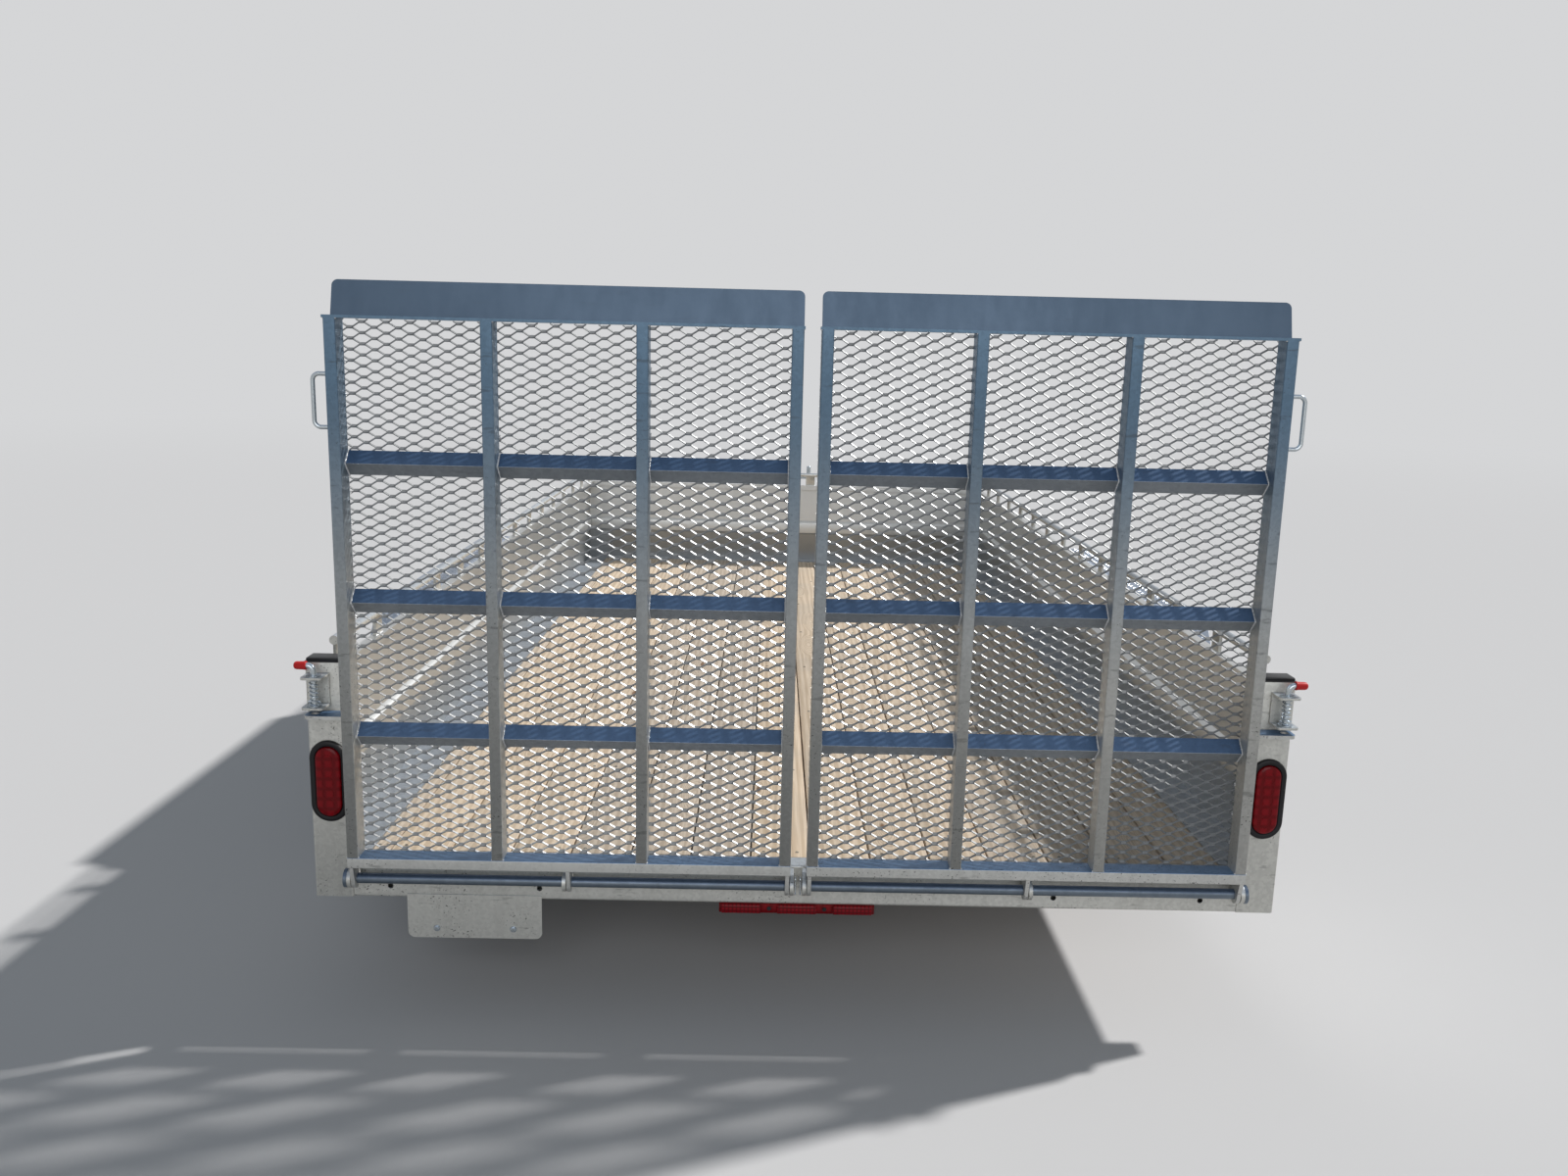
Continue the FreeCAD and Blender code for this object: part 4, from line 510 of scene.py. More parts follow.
class Finish(Enum):
    """The trailer's finishes."""

    # GATE and ANGLE carry a strong painted sky reflection through cool and sky
    GATE = Zinc("hot_dip_gate", (0.46, 0.46, 0.44), (0.59, 0.59, 0.565), 150.0, 0.22, 1.0, 0.42, 0.45, 0.35,
                cool=0.9, sky=1.0)
    FRAME = Zinc("hot_dip_frame", (0.48, 0.475, 0.445), (0.63, 0.625, 0.585), 150.0, 0.22, 0.9, 0.42, 0.45,
                 0.35)
    UNDER = Zinc("hot_dip_under", (0.34, 0.345, 0.34), (0.48, 0.485, 0.475), 110.0, 0.22, 0.8, 0.50, 0.40,
                 0.5, dust=0.5)
    SHEET = Zinc("galvanised_sheet", (0.35, 0.355, 0.34), (0.48, 0.485, 0.465), 90.0, 0.36, 0.3, 0.47, 0.42,
                 0.2)
    MESH = Zinc("expanded_metal", (0.24, 0.25, 0.26), (0.33, 0.34, 0.35), 160.0, 0.15, 0.15, 0.34, 0.36, 0.15,
                sky=0.0)
    ANGLE = Zinc("cross_angle_zinc", (0.25, 0.27, 0.29), (0.34, 0.36, 0.38), 120.0, 0.2, 0.5, 0.38, 0.45,
                 0.25, sky=1.0)
    # the lip's dark steel blue is a painted sky reflection, not the zinc's own colour
    LIP = Zinc("lip_zinc", (0.052, 0.088, 0.138), (0.067, 0.107, 0.162), 110.0, 0.05, 0.15, 0.36, 0.45, 0.15,
               sky=0.0)
    PLATE = Zinc("tread_plate", (0.36, 0.385, 0.41), (0.48, 0.505, 0.53), 100.0, 0.2, 0.3, 0.32, 0.55, 0.25,
                 dust=0.15)
    LUG = Zinc("worn_lug", (0.54, 0.56, 0.58), (0.70, 0.72, 0.74), 140.0, 0.1, 0.1, 0.26, 0.6, 0.15)
    PLATED = Zinc("bright_zinc", (0.42, 0.46, 0.48), (0.56, 0.60, 0.62), 180.0, 0.12, 0.15, 0.24, 0.75, 0.12)
    # the hinge rods' dark blue grey is a painted dark reflection over the zinc
    ROD = Zinc("hinge_rod_zinc", (0.11, 0.14, 0.175), (0.16, 0.195, 0.235), 90.0, 0.15, 0.3, 0.36, 0.4, 0.12,
               sky=0.6)
    WHEEL = Zinc("wheel_zinc", (0.42, 0.44, 0.45), (0.56, 0.58, 0.59), 120.0, 0.18, 0.15, 0.28, 0.65, 0.15,
                 dust=0.2, sky=0.0)
    WELD = Zinc("weld_bead", (0.52, 0.53, 0.54), (0.72, 0.73, 0.74), 200.0, 0.2, 0.3, 0.32, 0.5, 0.5,
                sky=0.0)
    DECK = Pine("deck_pine")
    TYRE = Moulded("tyre_rubber", (0.022, 0.021, 0.020), (0.050, 0.047, 0.043), 0.68, 420.0, 0.45)
    RUBBER = Moulded("lamp_rubber", (0.008, 0.008, 0.009), (0.018, 0.018, 0.020), 0.46, 260.0)
    CAP = Moulded("cap_plastic", (0.012, 0.013, 0.015), (0.030, 0.033, 0.038), 0.36, 300.0)
    GRIP = Moulded("red_vinyl", (0.52, 0.012, 0.014), (0.60, 0.030, 0.028), 0.32, 200.0)
    LENS = Lens("red_lamp_lens", (0.15, 0.0010, 0.0035), (0.25, 0.003, 0.008), 42.0)
    MARKER = Lens("red_marker_lens", (0.12, 0.0015, 0.0045), (0.34, 0.006, 0.014), 110.0)

    @property
    def made(self) -> Material:
        """The finish's material, built once."""
        return bpy.data.materials.get(self.value.name) or self.value.material()


class Slot(str, Enum):
    """The record's material slots."""

    FRAME = "galvanised"
    SHEET = "galvanised_sheet"
    PLATED = "zinc_plate"
    DECK = "deck_wood"
    TYRE = "tyre"
    WHEEL = "wheel_steel"
    LENS = "red_lens"
    RUBBER = "black_rubber"
    GRIP = "red_grip"


def realized(tree: Tree, given: dict[str, Flow], shape: Flow) -> dict[str, Flow]:
    """Ends a tree in Realize Instances and Set Material.

    Args:
        tree: The group's tree.
        given: The group's inputs.
        shape: The copies.

    Returns:
        The group's outputs.
    """
    real = tree.out("GeometryNodeRealizeInstances", {0: shape})
    inputs = {"Geometry": real, "Material": given["Material"]}
    return {"Geometry": tree.out("GeometryNodeSetMaterial", inputs)}


@node_group("GeometryNodeTree", COATED | {
    "Columns": "Int", "Rows": "Int", "Step X": "Float", "Step Z": "Float", "Odd Columns": "Int",
    "Odd Rows": "Int", "Odd Turn": "Float", "Turn": "Float"}, GEOMETRY)
def centred_lattice(tree: Tree, given: dict[str, Flow]) -> dict[str, Flow]:
    """Copies of a unit on a centred lattice: even rows, and odd rows moved half a step and turned.

    Args:
        tree: The group's tree.
        given: The group's inputs.

    Returns:
        The group's outputs.
    """
    joined_sets = tree.add("GeometryNodeJoinGeometry")
    for prefix, half in (("", 0.0), ("Odd ", 0.5)):
        columns = given[f"{prefix}Columns"]
        points = tree.out("GeometryNodePoints", {"Count": columns * given[f"{prefix}Rows"]})
        index = tree.out("GeometryNodeInputIndex")
        column = tree.maths("FLOORED_MODULO", index, columns) + half
        row = tree.maths("FLOOR", (index + 0.5) / columns) + half
        place = tree.vector(column * given["Step X"], 0.0, row * given["Step Z"])
        spots = tree.out("GeometryNodeSetPosition", {"Geometry": points, "Position": place})
        copies = tree.out("GeometryNodeInstanceOnPoints", {
            "Points": spots, "Instance": given["Geometry"],
            "Rotation": tree.vector(0.0, given[f"{prefix}Turn"])})
        tree.feed(copies, joined_sets.inputs[0])
    return realized(tree, given, Flow(tree, joined_sets.outputs[0]))


@node_group("GeometryNodeTree", COATED | {"Count": "Int"}, GEOMETRY)
def ring_about_x(tree: Tree, given: dict[str, Flow]) -> dict[str, Flow]:
    """Copies of a unit round the X axis.

    Args:
        tree: The group's tree.
        given: The group's inputs.

    Returns:
        The group's outputs.
    """
    angle = tree.out("GeometryNodeInputIndex") / given["Count"] * math.tau
    return realized(tree, given, tree.out("GeometryNodeInstanceOnPoints", {
        "Points": tree.out("GeometryNodePoints", {"Count": given["Count"]}), "Instance": given["Geometry"],
        "Rotation": tree.vector(angle)}))


@node_group("GeometryNodeTree", COATED | {"Drop": "Float", "Pitch": "Float", "Seed": "Int"}, GEOMETRY)
def weld_bead(tree: Tree, given: dict[str, Flow]) -> dict[str, Flow]:
    """The overlapping drops of a weld bead along the edges of a mesh.

    Args:
        tree: The group's tree.
        given: The group's inputs.

    Returns:
        The group's outputs.
    """
    curve = tree.out("GeometryNodeMeshToCurve", {0: given["Geometry"]})
    points = tree.add("GeometryNodeCurveToPoints", {"Curve": curve, "Length": given["Pitch"]}, mode="LENGTH")
    drop = tree.out("GeometryNodeMeshUVSphere", {"Segments": 7, "Rings": 4, "Radius": given["Drop"]})
    sizes = {SIZE_FROM: 0.82, SIZE_TO: 1.12, "Seed": given["Seed"]}
    size = tree.out("FunctionNodeRandomValue", sizes, SIZE_RESULT, data_type="FLOAT")
    flatness = 0.8
    return realized(tree, given, tree.out("GeometryNodeInstanceOnPoints", {
        "Points": Flow(tree, points.outputs[0]), "Instance": drop, "Rotation": Flow(
            tree, points.outputs["Rotation"]), "Scale": tree.vector(size, size, size * flatness)}))


@node_group("GeometryNodeTree", COATED | {
    "Turns": "Float", "Height": "Float", "Coil": "Float", "Wire": "Float"}, GEOMETRY)
def coil_spring(tree: Tree, given: dict[str, Flow]) -> dict[str, Flow]:
    """A coil spring that stands on the origin along Z.

    Args:
        tree: The group's tree.
        given: The group's inputs.

    Returns:
        The group's outputs.
    """
    spiral = tree.out("GeometryNodeCurveSpiral", {
        "Resolution": 20, "Rotations": given["Turns"], "Start Radius": given["Coil"],
        "End Radius": given["Coil"], "Height": given["Height"]})
    section = tree.out("GeometryNodeCurvePrimitiveCircle", {"Resolution": 8, "Radius": given["Wire"]})
    return realized(tree, given, tree.out("GeometryNodeCurveToMesh", {
        "Curve": spiral, "Profile Curve": section, "Fill Caps": True}))


def grown(maker: Callable[[], NodeTree], unit: Mesh, finish: Finish, **values: float | int) -> Mesh:
    """Runs a Geometry Nodes tree on a unit mesh.

    Args:
        maker: The function that builds the tree.
        unit: The mesh that goes in.
        finish: The finish that Set Material gives.
        values: The tree's inputs, by name with spaces as underscores.

    Returns:
        A plain mesh.
    """
    carrier = bpy.data.objects.new("carrier", unit)
    bpy.context.scene.collection.objects.link(carrier)
    modifier = carrier.modifiers.new("grow", "NODES")
    modifier.node_group = maker()
    settings = {name.replace("_", " "): value for name, value in values.items()} | {"Material": finish.made}
    for item in modifier.node_group.interface.items_tree:
        if item.item_type == "SOCKET" and item.in_out == "INPUT" and item.name in settings:
            modifier[item.identifier] = settings[item.name]
    graph = bpy.context.evaluated_depsgraph_get()
    mesh = bpy.data.meshes.new_from_object(carrier.evaluated_get(graph), depsgraph=graph)
    bpy.data.objects.remove(carrier)
    return mesh


def mesh_of(shape: BMesh) -> Mesh:
    """Turns a bmesh into a mesh with smooth faces and sharp corners.

    Args:
        shape: The bmesh, which is freed.

    Returns:
        The mesh.
    """
    mesh = bpy.data.meshes.new("shape")
    shape.to_mesh(mesh)
    shape.free()
    mesh.shade_smooth()
    mesh.set_sharp_from_angle(angle=SMOOTH_ANGLE)
    return mesh


def joined(meshes: Iterable[Mesh]) -> Mesh:
    """Joins meshes of one finish.

    Args:
        meshes: The meshes, in place.

    Returns:
        One mesh.
    """
    total = bmesh.new()
    for mesh in meshes:
        total.from_mesh(mesh)
    return mesh_of(total)


def moved(mesh: Mesh, matrix: Matrix) -> Mesh:
    """Makes a moved copy of a mesh.

    Args:
        mesh: The mesh.
        matrix: The move, which may mirror it.

    Returns:
        The copy, its faces outwards.
    """
    copy = mesh.copy()
    copy.transform(matrix)
    if matrix.determinant() < 0:
        copy.flip_normals()
    return copy


def block(low: Point, high: Point, bevel: float, segments: int = 2) -> Mesh:
    """Makes a block with rounded edges.

    Args:
        low: The lowest corner.
        high: The highest corner.
        bevel: The rounding's reach.
        segments: The rounding's steps.

    Returns:
        The mesh.
    """
    shape = bmesh.new()
    bmesh.ops.create_cube(shape, size=1.0)
    bmesh.ops.scale(shape, vec=Vector(high) - Vector(low), verts=shape.verts)
    bmesh.ops.translate(shape, vec=(Vector(high) + Vector(low)) / 2, verts=shape.verts)
    bmesh.ops.bevel(shape, geom=list(shape.edges), offset=bevel, segments=segments, profile=0.5,
                    affect="EDGES", clamp_overlap=True)
    return mesh_of(shape)


def skin(shape: BMesh, rings: Sequence[Sequence[Point]], loop: bool = False) -> list[list[BMVert]]:
    """Adds faces between rings of points, where a ring may be a single point.

    Args:
        shape: The bmesh to add to.
        rings: The rings in order.
        loop: Whether the last ring joins the first.

    Returns:
        The rings' vertices.
    """
    rows = [[shape.verts.new(point) for point in ring] for ring in rings]
    for first, second in zip(rows, rows[1:] + rows[:1] * loop):
        for turn in range(max(len(first), len(second))):
            corners = [ring[(turn + ahead) % len(ring)]
                       for ring, ahead in ((first, 0), (first, 1), (second, 1), (second, 0))]
            if len(set(corners)) > 2:
                shape.faces.new(list(dict.fromkeys(corners)))
    return rows


def closed(rings: Sequence[Sequence[Point]], loop: bool = False) -> tuple[BMesh, list[list[BMVert]]]:
    """Makes a skin over rings, closed at its ends.

    Args:
        rings: The rings in order.
        loop: Whether the last ring joins the first.

    Returns:
        The bmesh and the rings' vertices.
    """
    shape = bmesh.new()
    rows = skin(shape, rings, loop)
    if not loop:
        shape.faces.new(rows[0])
        shape.faces.new(rows[-1])
    bmesh.ops.recalc_face_normals(shape, faces=shape.faces)
    return shape, rows


def lofted(rings: Sequence[Sequence[Point]], loop: bool = False) -> Mesh:
    """The mesh of a closed skin over rings."""
    return mesh_of(closed(rings, loop)[0])


def turns(count: int) -> list[float]:
    """Angles round a full circle."""
    return [math.tau * step / count for step in range(count)]


def lathe(outline: Sequence[tuple[float, float]], segments: int) -> Mesh:
    """Turns a closed outline about the X axis.

    Args:
        outline: Points (x, radius) in order.
        segments: Steps round the axis.

    Returns:
        The mesh.
    """
    rings = []
    for along, radius in outline:
        angles = turns(segments if radius > 0.0 else 1)
        rings.append([(along, radius * math.cos(angle), radius * math.sin(angle)) for angle in angles])
    return lofted(rings, loop=True)


def piped(points: Sequence[Vector], radii: Sequence[float], sides: int) -> Mesh:
    """Makes a round bar along a path.

    Args:
        points: The path.
        radii: The radius at each point.
        sides: Steps round the bar.

    Returns:
        The mesh.
    """
    rings = []
    normal = Vector((0.0, 0.0, 1.0))
    for before, point, after, radius in zip(points[:1] + points, points, points[1:] + points[-1:], radii):
        direction = (after - before).normalized()
        if not rings and abs(direction.z) > 0.95:
            normal = Vector((0.0, 1.0, 0.0))
        side = direction.cross(normal).normalized()
        normal = side.cross(direction).normalized()
        rings.append([point + radius * (side * math.cos(angle) + normal * math.sin(angle))
                      for angle in turns(sides)])
    return lofted(rings)


def bend(corner: Vector, before: Vector, after: Vector, radius: float, steps: int = 6) -> list[Vector]:
    """Rounds a square corner of a path.

    Args:
        corner: The corner.
        before: A point of the path before it.
        after: A point of the path after it.
        radius: The bend's radius.
        steps: Its steps.

    Returns:
        The bend's points.
    """
    start = corner + (before - corner).normalized() * radius
    end = corner + (after - corner).normalized() * radius
    centre = start + end - corner
    return [centre + (start - centre) * math.cos(angle) + (end - centre) * math.sin(angle)
            for angle in (math.pi / 2 * number / steps for number in range(steps + 1))]


def oval(length: float, width: float, inset: float, depth: float, steps: int = 22) -> list[Vector]:
    """Makes an upright oval ring about the origin in the XZ plane.

    Args:
        length: The oval's length.
        width: Its width.
        inset: How far in the ring lies.
        depth: How far out it lies, towards -Y.
        steps: Steps of a half circle.

    Returns:
        The ring.
    """
    radius = width / 2 - inset
    rise = (length - width) / 2
    return [Vector((radius * math.cos(angle), -depth, end * rise + radius * math.sin(angle)))
            for end, start in ((1, 0.0), (-1, math.pi))
            for angle in (start + math.pi * number / steps for number in range(steps + 1))]


def softened(node: str, width: float) -> Mesh:
    """A copy of a node's mesh with its outer edges rounded.

    Args:
        node: The node to copy.
        width: How far the rounding reaches from an edge; 0 leaves them sharp.

    Returns:
        The finished mesh.
    """
    shape = bmesh.new()
    shape.from_mesh(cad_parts[node].data)
    bmesh.ops.remove_doubles(shape, verts=shape.verts, dist=WELD_DISTANCE)
    bmesh.ops.dissolve_limit(shape, angle_limit=FLAT_ANGLE, verts=shape.verts, edges=shape.edges)
    if width > 0.0:
        shortest = SHORTEST_EDGE * width
        edges = [edge for edge in shape.edges if edge.is_manifold
                 and edge.calc_face_angle_signed() > EDGE_ANGLE and edge.calc_length() > shortest]
        bmesh.ops.bevel(shape, geom=edges, offset=width, segments=2, profile=0.5, affect="EDGES",
                        clamp_overlap=True)
    return mesh_of(shape)


def hexagon_head(radius: float, height: float) -> Mesh:
    """A hexagon bolt head with its washer, standing on the origin along +X.

    Args:
        radius: The head's radius.
        height: Its height.

    Returns:
        The mesh.
    """
    brim = radius * 1.35
    washer = lathe([(0.0, 0.0), (0.0, brim), (height * 0.22, brim), (height * 0.26, 0.0)], 20)
    head = lathe([(height * 0.2, 0.0), (height * 0.2, radius), (height * 0.85, radius),
                  (height, radius * 0.82), (height, 0.0)], 6)
    return joined([washer, head])


def on_face(origin: Point, across: Point, normal: Point) -> Matrix:
    """Lays a unit that lies in its XZ plane and looks towards -Y on a face.

    Args:
        origin: The unit's corner.
        across: The face's own X.
        normal: The way it looks.

    Returns:
        The matrix.
    """
    right = Vector(across).normalized()
    out = Vector(normal).normalized()
    return shift(origin) @ Matrix((right, -out, right.cross(-out))).transposed().to_4x4()


def middle(node: str) -> Vector:
    """The middle of a node's box."""
    low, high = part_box(node)
    return (low + high) / 2


class Side(Enum):
    """The two hands of the trailer, seen from behind."""

    RIGHT = 1
    LEFT = -1

    @property
    def word(self) -> str:
        """The side's name in node names."""
        return self.name.lower()

    @property
    def turn(self) -> Matrix:
        """The turn that points +X outwards."""
        return Matrix.Identity(4) if self is Side.RIGHT else Matrix.Rotation(math.pi, 4, "Z")


class Assembly:
    """A sub-assembly whose pieces ride on one body."""

    body: str = "root"

    def add(self, name: str, mesh: Mesh, finish: Finish, slot: Slot, *replaced: str) -> Object:
        """Adds a finished piece.

        Args:
            name: The piece's name.
            mesh: Its mesh, in place.
            finish: Its finish.
            slot: The record's slot; not used.
            replaced: CAD nodes that it stands for.

        Returns:
            The piece.
        """
        mesh.materials.clear()
        mesh.materials.append(finish.made)
        piece = bpy.data.objects.new(name, mesh)
        bpy.context.scene.collection.objects.link(piece)
        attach(piece, self.body)
        if replaced:
            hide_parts(*replaced)
        log.info("%s: %d faces on %s", name, len(mesh.polygons), self.body)
        return piece

    def soften(self, finish: Finish, slot: Slot, width: float, *nodes: str) -> None:
        """Shows rounded copies of CAD nodes in their places.

        Args:
            finish: Their finish.
            slot: The record's slot.
            width: The rounding's reach.
            nodes: The nodes.
        """
        for node in nodes:
            self.add(f"{node}_shown", softened(node, width), finish, slot, node)

    def welds(self, name: str, runs: Iterable[Sequence[Point]], drop: float) -> None:
        """Adds weld beads along polylines.

        Args:
            name: The piece's name.
            runs: The polylines.
            drop: A drop's radius.
        """
        shape = bmesh.new()
        for run in runs:
            corners = [shape.verts.new(point) for point in run]
            for ends in zip(corners, corners[1:]):
                shape.edges.new(ends)
        mesh = bpy.data.meshes.new("runs")
        shape.to_mesh(mesh)
        shape.free()
        beads = grown(weld_bead, mesh, Finish.WELD, Drop=drop, Pitch=drop * WELD_STEP, Seed=7)
        beads.shade_smooth()
        self.add(name, beads, Finish.WELD, Slot.FRAME)


@dataclass
class RampGate(Assembly):
    """One ramp gate: bars, expanded metal, cross angles, lip, lugs, handle and latch tab."""

    side: Side
    long_way: float = 0.0508
    short_way: float = 0.0234
    strand: float = 0.0042
    thick: float = 0.0024
    bond: float = 0.0056
    tilt: float = math.radians(52)
    bar: float = 0.0254
    bars: int = 4
    dot: float = 0.004
    dot_rows: int = 3
    drop: float = 0.0028
    inset: float = 0.0032

    def __post_init__(self) -> None:
        """Names the gate's body and fits whole diamonds to its panel."""
        self.body = f"gate_{self.side.word}"
        self.low, self.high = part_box(self.node("mesh"))
        wide, tall = self.high.x - self.low.x, self.high.z - self.low.z
        self.columns = round(wide / self.long_way - 0.5)
        self.rows = round(tall / self.short_way - 0.5)
        self.long_way = wide / (self.columns + 0.5)
        self.short_way = tall / (self.rows + 0.5)

    def node(self, part: str) -> str:
        """The name of one of the gate's nodes."""
        return f"{self.body}_{part}"

    def bond_unit(self) -> Mesh:
        """A bond of the expanded metal with the four half strands that leave it.

        Returns:
            The mesh.
        """
        broad = Vector((0.0, math.sin(self.tilt), math.cos(self.tilt))) * self.strand
        deep = Vector((0.0, -math.cos(self.tilt), math.sin(self.tilt))) * self.thick

        def ring(centre: Vector, height: float) -> list[Vector]:
            """The corners of a section.

            Args:
                centre: The section's middle.
                height: Its height in strands.

            Returns:
                The corners.
            """
            return [centre + broad * height * up + deep * 0.5 * out
                    for up, out in ((-0.5, -1), (0.5, -1), (0.5, 1), (-0.5, 1))]

        shape = bmesh.new()
        ends = {end: Vector((end * self.bond, 0.0, 0.0)) for end in (-1, 1)}
        skin(shape, [ring(end, 2.0) for end in ends.values()])
        for end, root in ends.items():
            for up in (-1, 1):
                tip = Vector((end * self.long_way / 4, 0.0, up * self.short_way / 4))
                shape.faces.new(skin(shape, [ring(root + broad * 0.5 * up, 1.0), ring(tip, 1.0)])[-1])
        bmesh.ops.remove_doubles(shape, verts=shape.verts, dist=WELD_DISTANCE)
        bmesh.ops.recalc_face_normals(shape, faces=shape.faces)
        return mesh_of(shape)

    def expanded_metal(self) -> None:
        """The raised mesh on the forward face of the bars."""
        mesh = grown(centred_lattice, self.bond_unit(), Finish.MESH, Columns=self.columns + 1,
                     Rows=self.rows + 1, Step_X=self.long_way, Step_Z=self.short_way,
                     Odd_Columns=self.columns, Odd_Rows=self.rows)
        corner = self.low + Vector((self.long_way / 4, self.strand * math.sin(self.tilt), self.short_way / 4))
        self.add(self.node("expanded_metal"), moved(mesh, shift(corner)), Finish.MESH, Slot.SHEET,
                 self.node("mesh"))

    def bar_welds(self) -> None:
        """Beads at the bars' feet and heads and the cross angles' ends, and dots on the mesh."""
        low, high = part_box(self.node("frame"))
        step = (self.high.x - self.low.x - self.bar) / (self.bars - 1)
        inner = min(abs(self.high.x), abs(self.low.x))
        angle_low, angle_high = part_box(self.node("cross_angles"))
        reach = high.y - angle_low.y
        spread = angle_high.z - angle_low.z - 2 * reach
        ridges = [angle_low.z + reach + spread * part for part in (0.0, 0.5, 1.0)]
        back = low.y + self.inset
        rows = range(1, int((self.high.z - self.low.z) / (self.dot_rows * self.short_way)))
        runs = []
        for index in range(self.bars):
            left = inner + index * step
            right = left + self.bar
            runs += [[(left, back, level), (right, back, level)]
                     for level in (self.low.z + self.bar, self.high.z)]
            levels = [self.low.z + (row * self.dot_rows + 0.5 * (index % 2)) * self.short_way for row in rows]
            for edge in [left] * (index > 0) + [right] * (index < self.bars - 1):
                runs += [[(edge, high.y, ridge + reach), (edge, high.y - reach, ridge),
                          (edge, high.y, ridge - reach)] for ridge in ridges]
                runs += [[(edge, high.y, level), (edge, high.y, level + self.dot)] for level in levels]
        hand = self.side.value
        self.welds(self.node("welds"), [[(hand * x, y, z) for x, y, z in run] for run in runs], self.drop)

    def build(self) -> None:
        """Builds the whole gate."""
        self.expanded_metal()
        for finish, width, part in (
                (Finish.GATE, 0.0, "frame"), (Finish.ANGLE, 0.0008, "cross_angles"),
                (Finish.LIP, 0.0008, "lip"), (Finish.GATE, 0.001, "hinge_lugs"),
                (Finish.PLATED, 0.0, "handle"), (Finish.GATE, 0.001, "latch_tab")):
            self.soften(finish, Slot.FRAME, width, self.node(part))
        self.bar_welds()


@dataclass
class Deck(Assembly):
    """Boards with eased edges, screwed down to the cross members."""

    ease: float = 0.0022
    seam: float = 0.0011
    screw: float = 0.0048
    screw_inset: float = 0.03
    screw_sunk: float = 0.0016
    members: int = 8
    member: float = 0.0508
    sink: float = 0.0012
    stagger: float = 0.002
    seed: int = 41

    def boards(self) -> list[tuple[float, float]]:
        """The left and right edges of each board, from the node's own corners."""
        edges = sorted({round(vertex.co.x, 4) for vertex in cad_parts["deck_boards"].data.vertices})
        return list(zip(edges[::2], edges[1::2]))

    def build(self) -> None:
        """Builds the boards and their screws."""
        low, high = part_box("deck_boards")
        rng = random.Random(self.seed)
        total = bmesh.new()
        tones = []
        for left, right in self.boards():
            sink = rng.uniform(0.0, self.sink)
            total.from_mesh(block((left + self.seam, low.y + rng.uniform(0.0, self.stagger), low.z),
                                  (right - self.seam, high.y, high.z - sink), self.ease, 3))
            tones.extend([rng.random()] * (len(total.faces) - len(tones)))
        mesh = mesh_of(total)
        mesh.attributes.new("board", "FLOAT", "FACE").data.foreach_set("value", tones)
        self.add("boards", mesh, Finish.DECK, Slot.DECK, "deck_boards")
        self.screws(high.z)

    def screws(self, top: float) -> None:
        """Flat screw heads, two to a board on each cross member.

        Args:
            top: The height of the boards' tops.
        """
        unit = lathe([(0.0, 0.0), (0.0, self.screw), (0.0008, self.screw * 0.92), (0.0010, self.screw * 0.5),
                      (0.0002, self.screw * 0.32), (0.0002, 0.0)], 10)
        low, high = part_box("cross_members")
        heads = grown(centred_lattice, moved(unit, TO_TOP), Finish.PLATED, Columns=1, Rows=self.members,
                      Step_Z=(high.y - low.y - self.member) / (self.members - 1))
        laid = Matrix(((1, 0, 0, 0), (0, 0, 1, 0), (0, 1, 0, 0), (0, 0, 0, 1)))
        spots = [(x, low.y + self.member / 2, top - self.screw_sunk) for left, right in self.boards()
                 for x in (left + self.screw_inset, right - self.screw_inset)]
        self.add("deck_screws", joined(moved(heads, shift(spot) @ laid) for spot in spots), Finish.PLATED,
                 Slot.PLATED)


